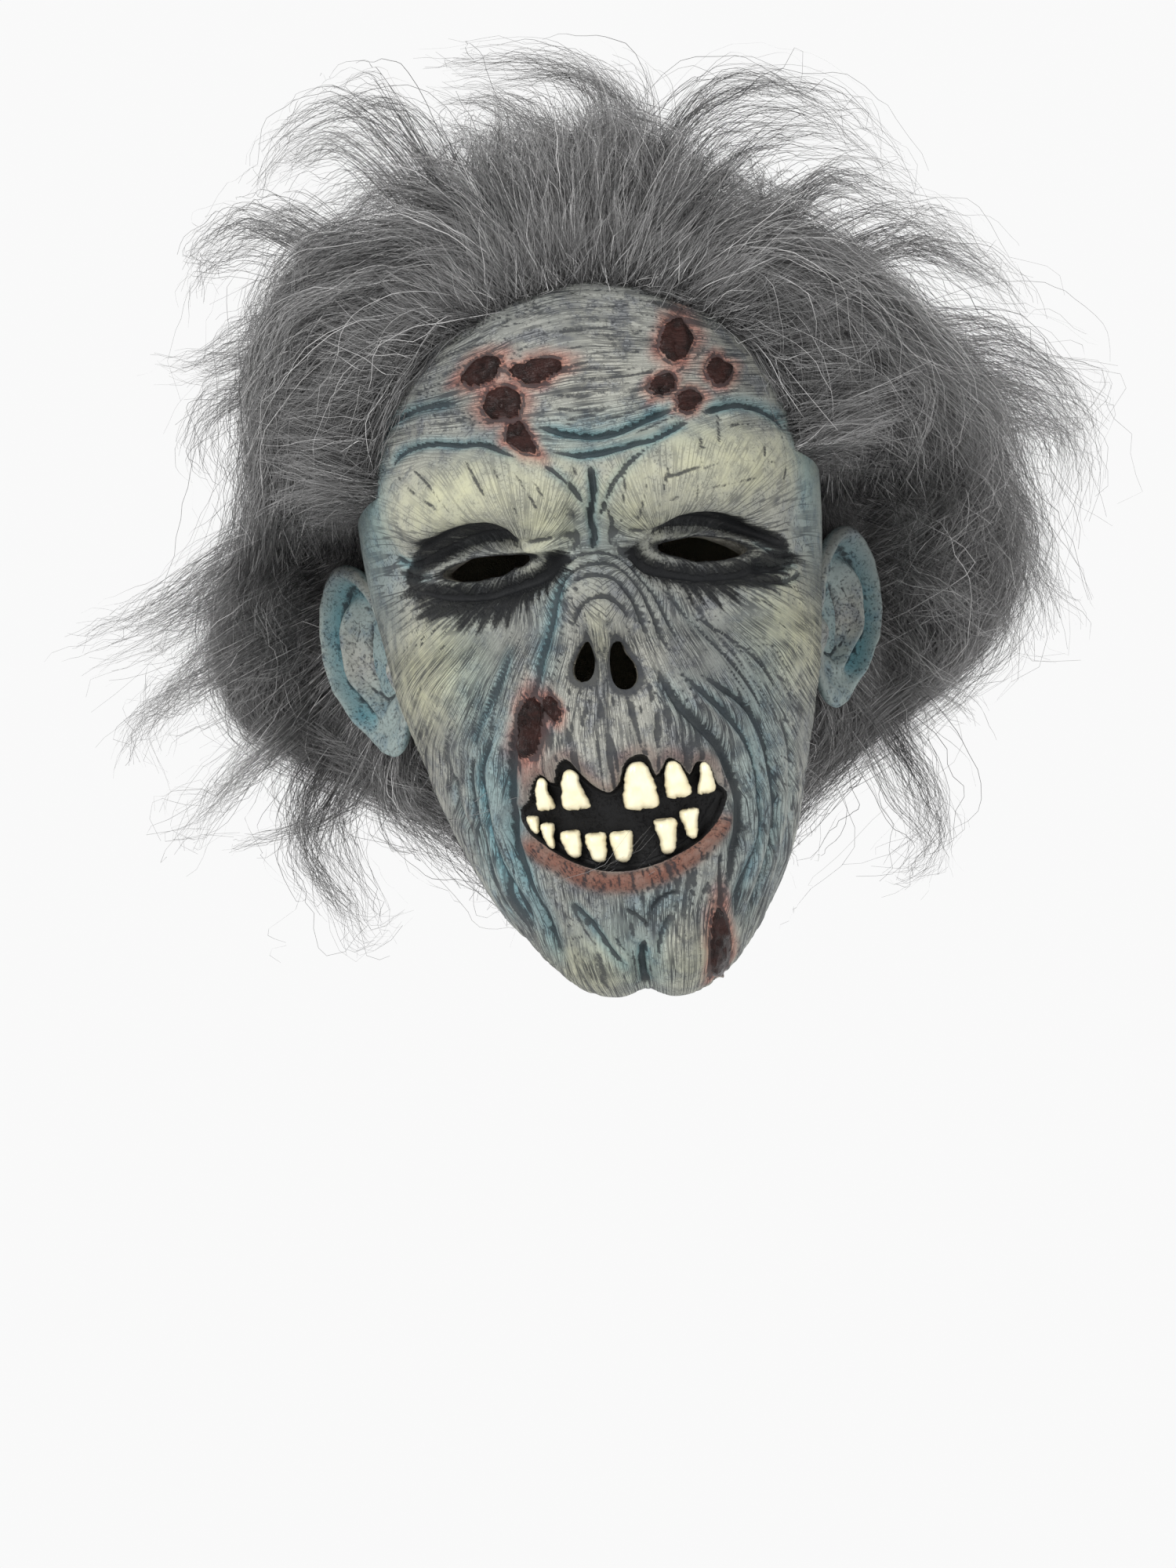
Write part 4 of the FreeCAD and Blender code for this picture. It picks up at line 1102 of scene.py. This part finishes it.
def clear_ears(path):
    """Keeps hair behind the ears where it would hang over them."""
    x, y, z = np.abs(path[..., 0]), path[..., 1], path[..., 2]
    behind = np.minimum(EAR_BACK + 0.6 * (x - 65), 19 - 1.4 * (x - 90)) - 6.5 * np.clip(z + 96, 0, None)
    path[..., 1] = y + smooth((x - 60) / 5) * np.clip(behind - y, 0, None)
    return path


def tuft_paths(scalp, rng):
    """Locks of the listed tufts, rooted in the scalp below where each leaves the pile."""
    out = []
    s = np.linspace(0, 1, STRAND_POINTS)
    for points, share in TUFTS:
        line = smooth_line(points, 12)
        run = np.concatenate([[0], np.cumsum(np.linalg.norm(np.diff(line, axis=0), axis=1))])
        count = max(4, round(TUFT_LOCKS * share))
        first, last = rng.uniform(0, 0.30, count), rng.beta(3.0, 1.0, count)
        at = (first[:, None] + (np.maximum(last, 0.5) - first)[:, None] * s) * run[-1]
        y = rng.normal(2, 17, count)[:, None] + (18 - 10 * share) * s
        girth = (11 * share + 3) * (1 - 0.72 * at / run[-1])
        middle = vectors(np.interp(at, run, line[:, 0]), y, np.interp(at, run, line[:, 1]))
        path = middle + random_directions(rng, count)[:, None] * girth[..., None]
        inward = unit(path[:, 0] - HAIR_CENTRE)
        root = (HAIR_CENTRE + inward * scalp.along(inward)[:, None])[:, None]
        out.append(root + (path - root) * smooth(s / 0.4)[:, None])
    return clear_ears(np.concatenate(out))


def hairline_paths(scalp, rng):
    """Short locks along the hairline, brushed up and back with loose ends over the skin."""
    count = HAIRLINE_LOCKS
    x = rng.uniform(-64, 64, count)
    z = np.interp(x, *HAIRLINE) + np.abs(rng.normal(1.5, 3.0, count))
    temple = rng.random(count) < 0.25
    x = np.where(temple, np.sign(x) * rng.uniform(63.5, 67.5, count), x)
    z = np.where(temple, rng.uniform(-97, -58, count), z)
    out = unit(vectors(x, -82.0, z) - HAIR_CENTRE)
    for _ in range(6):
        roots = HAIR_CENTRE + out * scalp.along(out)[:, None]
        out = unit(vectors(x, roots[:, 1], z) - HAIR_CENTRE)
    out = unit(roots - HAIR_CENTRE)
    loose_x, loose_z = rng.normal(0, 0.3, count), rng.normal(0, 0.3, count)
    lean = vectors(0.016 * x + loose_x, 0.25, 0.75 - 0.012 * np.abs(x) + loose_z)
    lean[temple] *= [1, 1, -1.4]
    s = np.linspace(0, 1, STRAND_POINTS)[:, None]
    bend = s * (0.55 * out + 0.5 * lean)[:, None] + s ** 2 * (0.5 * lean - 0.1 * out)[:, None]
    return roots[:, None] + rng.uniform(9, 26, count)[:, None, None] * bend


def wave(rng, size, shortest, longest, length):
    """Random bends of each line that grow towards its tip."""
    s = np.linspace(0, 1, STRAND_POINTS)
    count = len(size)
    total = np.zeros((count, STRAND_POINTS, 3))
    for weight in (1.0, 0.6):
        axis = random_directions(rng, count)
        cycles = length / rng.uniform(shortest, longest, count)
        phase = rng.uniform(0, FULL_TURN, count)
        total += weight * axis[:, None] * np.sin(FULL_TURN * cycles[:, None] * s + phase[:, None])[..., None]
    return total * (size[:, None] * s ** 0.9)[..., None]


def grow_strands(locks, rng):
    """Middle lines of the strands that each lock splits into, some of them stray, all wavy."""
    s = np.linspace(0, 1, STRAND_POINTS)
    length = np.linalg.norm(np.diff(locks, axis=1), axis=2).sum(1)
    loose = np.clip(length / 90, 0.1, 1.0)
    locks = locks + wave(rng, rng.gamma(2.2, 2.0, len(locks)) * loose, 40, 110, length)
    own = np.repeat(locks, STRANDS_PER_LOCK, 0)
    total = len(own)
    loose, length = np.repeat(loose, STRANDS_PER_LOCK), np.repeat(length, STRANDS_PER_LOCK)
    spread = rng.normal(size=(total, 3)) * (rng.gamma(2.0, 1.7, total) * (0.4 + 0.6 * loose))[:, None]
    stray = np.where(rng.random(total) < 0.14, rng.gamma(2.0, 3.6, total), 0.0) * loose ** 2
    own = own + spread[:, None] * ((1 - 0.35 * s) * np.minimum(1, 0.25 + 3 * s))[:, None]
    own += random_directions(rng, total)[:, None] * stray[:, None, None] * (s ** 1.6)[:, None]
    cut = rng.uniform(0.62, 1.0, total)
    at = cut[:, None] * s * (STRAND_POINTS - 1)
    k = np.minimum(at.astype(int), STRAND_POINTS - 2)
    f = (at - k)[..., None]
    pick = np.arange(total)[:, None]
    own = own[pick, k] * (1 - f) + own[pick, k + 1] * f
    own += wave(rng, rng.gamma(2.6, 0.75, total) * loose, 16, 42, length * cut)
    own += wave(rng, rng.uniform(0.25, 0.75, total), 9, 16, length * cut)
    return keep_near(clear_ears(own))


def keep_near(strands):
    """Shortens the strands that would reach too far past the CAD box."""
    low, high = (np.array(c) / MM for c in CAD_BOX)
    share, spare = ROOM
    margin = share * (high - low) + spare
    root = strands[:, :1]
    grown = strands - root
    room_up = (high + margin - root) / np.maximum(grown.max(1, keepdims=True), 1e-6)
    room_down = (low - margin - root) / np.minimum(grown.min(1, keepdims=True), -1e-6)
    return root + grown * np.clip(np.minimum(room_up, room_down), 0, 1)


def build_fur_piece(name, node, locks, rng):
    """One piece of the hair: a ribbon along each strand, and a grey for each."""
    strands = grow_strands(locks, rng)
    total = len(strands)
    s = np.linspace(0, 1, STRAND_POINTS)
    tangent = unit(np.gradient(strands, axis=1))
    across = unit(np.cross(tangent, random_directions(rng, total)[:, None]))
    half = (rng.uniform(0.065, 0.115, total)[:, None] * (1 - 0.55 * s ** 2))[..., None]
    verts = np.stack([strands - across * half, strands + across * half], 2).reshape(-1, 3)
    base = (np.arange(total) * STRAND_POINTS * 2)[:, None] + np.arange(STRAND_POINTS - 1) * 2
    faces = np.stack([base, base + 1, base + 3, base + 2], -1).reshape(-1, 4)
    lock_tone = np.repeat(rng.normal(0.42, 0.13, len(locks)), STRANDS_PER_LOCK)
    tone = np.clip(lock_tone + rng.normal(0, 0.16, total), 0.02, 0.98)
    # About one strand in eight is white: partly the fur's own pale fibres, partly painted highlights.
    tone[rng.random(total) < 0.12] = 0.96
    level = np.floor(tone * SHADES)[:, None, None]
    shape = (total, STRAND_POINTS, 2)
    u = np.broadcast_to((level + [0.2, 0.8]) / SHADES, shape)
    v = np.broadcast_to((0.01 + 0.98 * s)[:, None], shape)
    shade = np.broadcast_to((level + 0.5) / SHADES, shape)
    attributes = {"shade": shade.ravel(), "along": v.ravel()}
    ob = make_mesh(name, verts, [faces], attributes, np.stack([u.ravel(), v.ravel()], -1))
    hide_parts(node)
    return ob


def build_hair(shell):
    """All the hair, as pieces that each stand for one of the fur panels."""
    rng = np.random.default_rng(SEED + 7)
    furs = [node for name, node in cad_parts.items() if "fur" in name]
    scalp = Radial([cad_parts["latex_skin"]], HAIR_CENTRE, 120, 90)
    envelope = Radial(furs, HAIR_CENTRE, 120, 90)
    pile = lock_paths(scalp_roots(shell, rng, PILE_LOCKS), scalp, envelope, rng)
    locks = np.concatenate([pile, tuft_paths(scalp, rng), hairline_paths(scalp, rng)])
    x, y = locks[:, 0, 0], locks[:, 0, 1]
    zones = {
        "front_fur_tuft": (np.abs(x - PARTING) < 34) & (y < -45),
        "crown_fur_panel": (np.abs(x) < 42) & (y >= -45) & (y < 48),
        "back_fur_panel": (np.abs(x) < 42) & (y >= 48),
    }
    middle = np.any(list(zones.values()), 0)
    zones["left_fur_panel"] = ~middle & (x > 0)
    zones["right_fur_panel"] = ~middle & (x <= 0)
    out = []
    for node, mask in zones.items():
        chosen = locks[mask]
        parts = math.ceil(len(chosen) * STRANDS_PER_LOCK / STRANDS_PER_PIECE)
        for k, index in enumerate(np.array_split(rng.permutation(len(chosen)), parts)):
            out.append(build_fur_piece(f"{node}_hair_{k + 1}", node, chosen[index], rng))
    return out


# ---- materials ---------------------------------------------------------------------------------


class Nodes:
    """Short way to write a node material."""

    def __init__(self, name):
        self.mat = bpy.data.materials.new(name)
        self.mat.use_nodes = True
        self.tree = self.mat.node_tree
        self.shader = self.tree.nodes["Principled BSDF"]

    def add(self, kind, *values, inputs=None, **settings):
        """New node: values for its first sockets in order, values by socket name, and its settings."""
        node = self.tree.nodes.new(kind)
        for key, value in settings.items():
            setattr(node, key, value)
        for socket, value in zip(node.inputs, values):
            self.put(socket, value)
        for name, value in (inputs or {}).items():
            self.put(node.inputs[name], value)
        return node

    def put(self, socket, value):
        """Links a socket to another, or gives it a constant."""
        if isinstance(value, bpy.types.NodeSocket):
            self.tree.links.new(value, socket)
        elif isinstance(value, tuple) and socket.type == "RGBA":
            socket.default_value = (*value, 1.0)
        else:
            socket.default_value = value

    def shade(self, **values):
        """Sets the shader's own sockets by name, with _ for a space."""
        for key, value in values.items():
            self.put(self.shader.inputs[key.replace("_", " ")], value)

    def attribute(self, name):
        return self.add("ShaderNodeAttribute", attribute_name=name).outputs["Fac"]

    def place(self):
        return self.add("ShaderNodeTexCoord").outputs["Object"]

    def maths(self, operation, a, b, c=0.0):
        return self.add("ShaderNodeMath", a, b, c, operation=operation).outputs[0]

    def times(self, a, b):
        return self.maths("MULTIPLY", a, b)

    def most(self, a, b):
        return self.maths("MAXIMUM", a, b)

    def scaled(self, value, factor, offset):
        return self.maths("MULTIPLY_ADD", value, factor, offset)

    def noise(self, scale, detail, rough=0.55, vector=None):
        values = {"Vector": vector or self.place(), "Scale": scale, "Detail": detail, "Roughness": rough}
        return self.add("ShaderNodeTexNoise", inputs=values).outputs["Fac"]

    def spot(self, x, y):
        return self.add("ShaderNodeCombineXYZ", x, y).outputs[0]

    def lines(self, along, along_scale, across, across_scale, width):
        """1 on wandering lines that run along one coordinate, 0 between them."""
        spot = self.spot(self.times(along, along_scale), self.times(across, across_scale))
        level = self.maths("ABSOLUTE", self.maths("SUBTRACT", self.noise(1.0, 1.5, 0.5, spot), 0.5), 0.0)
        return self.step(level, width * 0.35, width, 1.0, 0.0)

    def step(self, value, low, high, to_low=0.0, to_high=1.0):
        """Smooth step from one value to another."""
        limits = (low, high, to_low, to_high)
        return self.add("ShaderNodeMapRange", value, *limits, interpolation_type="SMOOTHSTEP").outputs[0]

    def mix(self, factor, a, b):
        """Colour between two."""
        node = self.add("ShaderNodeMix", data_type="RGBA")
        for index, value in ((0, factor), (6, a), (7, b)):
            self.put(node.inputs[index], value)
        return node.outputs[2]

    def bump(self, strength, distance, height):
        values = {"Strength": strength, "Distance": distance, "Height": height}
        return self.add("ShaderNodeBump", inputs=values).outputs[0]


def carved_lines(m):
    """Thin dark lines of the lower face, the forehead and the fans round the eyes, coming and going."""
    place = m.add("ShaderNodeSeparateXYZ", m.place())
    along, across = m.attribute("along_fan"), m.attribute("across_fan")
    families = [
        ("lower", place.outputs["Z"], m.attribute("across_lower"), (36, 0.80, 0.034), (80, 1.9, 0.046), 0.75),
        ("upper", place.outputs["X"], m.attribute("across_upper"), (26, 0.60, 0.030), (60, 1.5, 0.046), 0.7),
    ]
    line = m.times(m.times(m.lines(along, 0.06, across, 1.3, 0.050), 0.85), m.attribute("fan"))
    for name, run, over, (run_scale, over_scale, width), (fine_run, fine_over, fine_width), share in families:
        coarse = m.lines(run, run_scale, over, over_scale, width)
        fine = m.lines(run, fine_run, over, fine_over, fine_width)
        line = m.most(line, m.times(m.most(coarse, m.times(fine, share)), m.attribute(name)))
    come_and_go = m.step(m.noise(75, 2), 0.30, 0.56)
    return m.times(line, m.scaled(come_and_go, 0.65, 0.35))


def latex_material():
    """Grey latex, airbrushed teal and cream, with a dark wash wiped into every carved line."""
    m = Nodes("painted_latex")
    big, mid = m.noise(24, 4), m.noise(150, 5, 0.65)
    speck, fine = m.noise(1050, 3, 0.7), m.noise(2300, 2, 0.6)

    base = m.mix(m.step(big, 0.36, 0.64), (0.202, 0.210, 0.197), (0.300, 0.300, 0.266))
    base = m.mix(m.step(mid, 0.44, 0.66), base, (0.172, 0.180, 0.185))
    sprays = [  # mask, the noise that breaks it up, that noise's range and strengths, share, colour
        ("cream", mid, (0.3, 0.6, 0.95, 0.6), 1.0, (0.400, 0.396, 0.268)),
        ("teal", big, (0.3, 0.66, 0.45, 0.9), 0.85, (0.062, 0.215, 0.260)),
        ("rust", mid, (0.25, 0.6, 0.55, 0.95), 0.78, (0.370, 0.115, 0.070)),
        ("lip", mid, (0.25, 0.6, 0.75, 0.95), 1.0, (0.158, 0.066, 0.045)),
    ]
    for name, patches, limits, share, colour in sprays:
        spray = m.times(m.attribute(name), m.step(patches, *limits))
        base = m.mix(m.times(spray, share), base, colour)

    groove = m.maths("ADD", m.attribute("dark"), m.times(m.maths("SUBTRACT", speck, 0.5), 0.9))
    wash = m.most(m.step(groove, 0.22, 0.66), carved_lines(m))
    specks = m.times(m.step(speck, 0.52, 0.64), m.step(mid, 0.34, 0.66, 0.30, 0.85))
    wash = m.most(wash, m.times(specks, m.scaled(m.attribute("cream"), -0.6, 1.0)))
    base = m.mix(m.times(wash, 0.86), base, (0.016, 0.018, 0.022))

    fan_spot = m.spot(m.times(m.attribute("along_fan"), 0.07), m.times(m.attribute("across_fan"), 1.6))
    streak = m.scaled(m.noise(1.0, 3.0, 0.6, fan_spot), 1.3, m.scaled(speck, 0.7, -1.02))
    painted = m.scaled(streak, m.step(m.attribute("socket"), 0.02, 0.3), m.attribute("socket"))
    base = m.mix(m.times(m.step(painted, 0.12, 0.84), 0.95), base, (0.0065, 0.007, 0.008))
    base = m.mix(m.step(m.attribute("mouth"), 0.4, 0.6), base, (0.006, 0.006, 0.0065))
    scab = m.step(m.attribute("scab"), 0.35, 0.65)
    base = m.mix(scab, base, m.mix(m.step(mid, 0.35, 0.65), (0.008, 0.004, 0.0035), (0.028, 0.010, 0.008)))
    base = m.mix(m.attribute("inside"), base, (0.15, 0.135, 0.10))

    gloss = m.most(scab, m.times(m.attribute("mouth"), 0.4))
    rough = m.maths("SUBTRACT", m.step(mid, 0.3, 0.7, 0.55, 0.68), m.times(gloss, 0.30))
    height = m.maths("ADD", m.times(speck, 0.5), m.times(fine, 0.35))
    normal = m.bump(0.75, 0.0005, m.maths("SUBTRACT", height, m.times(wash, 0.9)))
    m.shade(Base_Color=base, Roughness=rough, Specular_IOR_Level=0.16, Normal=normal)
    return m.mat


def enamel_material():
    """Ivory paint with yellow patches and brown grime round each tooth's edge."""
    m = Nodes("tooth_ivory")
    spots = m.noise(260, 4, 0.6)
    base = m.mix(m.step(spots, 0.35, 0.7), (0.76, 0.70, 0.50), (0.66, 0.585, 0.385))
    grime = m.times(m.attribute("grime"), m.step(spots, 0.3, 0.7, 0.1, 0.55))
    base = m.mix(grime, base, (0.26, 0.185, 0.085))
    m.shade(Base_Color=base, Roughness=m.step(spots, 0.3, 0.7, 0.22, 0.34),
            Normal=m.bump(0.25, 0.0002, m.noise(1100, 2, 0.5)))
    return m.mat


def hair_material():
    """A grey for each strand, with some white strands that are partly pale fibres and partly painted
    highlights; painted shade darkens each strand towards its root, deep in the pile, and painted light makes
    it paler towards its tip.
    """
    m = Nodes("grey_hair")
    shade, along = m.attribute("shade"), m.attribute("along")
    dark = m.mix(m.step(shade, 0.0, 0.9), (0.022, 0.022, 0.023), (0.175, 0.173, 0.172))
    # White strands: partly the fur's own pale fibres, partly painted highlights.
    base = m.mix(m.step(shade, 0.88, 0.95), dark, (0.42, 0.415, 0.41))
    # Painted light: strands grow paler towards the tip, where the outside of the pile is lit.
    base = m.mix(m.times(m.step(along, 0.35, 1.0), 0.45), base, (0.25, 0.248, 0.246))
    # Painted shade: strands darken to near black at the root, deep in the pile.
    base = m.mix(m.step(along, 0.22, 0.0, 0.0, 0.55), base, (0.020, 0.020, 0.021))
    m.shade(Base_Color=base, Roughness=0.48, Specular_IOR_Level=0.35)
    return m.mat


# ---- stage ----------------------------------------------------------------------------------------

FLOOR_HALF = 2.0          # metres, as are all lengths below
FLOOR_GAP = 0.55          # from the floor up to the mask
LIGHTS = [                # name, place, size, watts
    ("key", (-0.8, -1.4, 0.9), 0.7, 26), ("fill", (1.2, -1.3, 0.1), 1.2, 6),
    ("rim_left", (-1.1, 0.8, 0.6), 0.7, 9), ("rim_right", (1.1, 0.8, 0.6), 0.7, 9),
]
LIGHT_AIM = (0, -0.05, -0.12)
CAMERA_AIM = (-0.0102, -0.1, -0.1802)
CAMERA_DISTANCE = 1.8
CAMERA_ROLL = 6.5         # degrees
VIEW_HEIGHT = 0.47058824  # height of the plane through the face that fills the picture
SENSOR_HEIGHT = 36.0      # millimetres


def build_floor():
    """Pale paper well under the mask."""
    mesh = bpy.data.meshes.new("floor")
    level = CAD_BOX[0][2] - FLOOR_GAP
    corners = [(-1, -1), (1, -1), (1, 1), (-1, 1)]
    mesh.from_pydata([(x * FLOOR_HALF, y * FLOOR_HALF, level) for x, y in corners], [], [(0, 1, 2, 3)])
    floor = bpy.data.objects.new("floor", mesh)
    bpy.context.scene.collection.objects.link(floor)
    m = Nodes("floor_paper")
    m.shade(Base_Color=m.mix(m.noise(3, 2), (0.86, 0.86, 0.86), (0.9, 0.9, 0.9)), Roughness=0.9)
    mesh.materials.append(m.mat)


def build_lights():
    """A white room and four soft lights."""
    scene = bpy.context.scene
    scene.world = bpy.data.worlds.new("studio")
    scene.world.use_nodes = True
    background = scene.world.node_tree.nodes["Background"]
    background.inputs["Color"].default_value = (1.0, 1.0, 1.0, 1.0)
    background.inputs["Strength"].default_value = 0.95
    scene.view_settings.view_transform = "Standard"
    for name, place, size, power in LIGHTS:
        light = bpy.data.lights.new(name, "AREA")
        light.size, light.energy = size, power
        ob = bpy.data.objects.new(name, light)
        ob.location = place
        ob.rotation_euler = (Vector(LIGHT_AIM) - Vector(place)).to_track_quat("-Z", "Y").to_euler()
        scene.collection.objects.link(ob)


def build_camera():
    """Camera level with the wearer's face, rolled a little."""
    camera = bpy.data.cameras.new("camera")
    camera.sensor_fit = "VERTICAL"
    camera.sensor_height = SENSOR_HEIGHT
    camera.lens = SENSOR_HEIGHT * CAMERA_DISTANCE / VIEW_HEIGHT
    ob = bpy.data.objects.new("camera", camera)
    roll = math.radians(CAMERA_ROLL)
    up = Vector((math.sin(roll), 0, math.cos(roll)))
    back = Vector((0, -1, 0))
    place = Matrix.Translation(Vector(CAMERA_AIM) + back * CAMERA_DISTANCE)
    ob.matrix_world = place @ Matrix((up.cross(back), up, back)).transposed().to_4x4()
    bpy.context.scene.collection.objects.link(ob)
    bpy.context.scene.camera = ob


def finish_piece(ob, material):
    """Gives a piece its material and body."""
    ob.data.materials.append(material)
    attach(ob, "root")


def main():
    """Builds every piece, and then the stage."""
    skin, shell = build_skin()
    latex = latex_material()
    finish_piece(skin, latex)
    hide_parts("latex_skin")
    for side, node in ((1, "left_ear"), (-1, "right_ear")):
        finish_piece(build_ear(side, node), latex)
    enamel = enamel_material()
    for number, (node, shape) in enumerate(TEETH.items()):
        finish_piece(build_tooth(number, node, *shape), enamel)
    hair = hair_material()
    for ob in build_hair(shell):
        finish_piece(ob, hair)
    build_floor()
    build_lights()
    build_camera()


main()
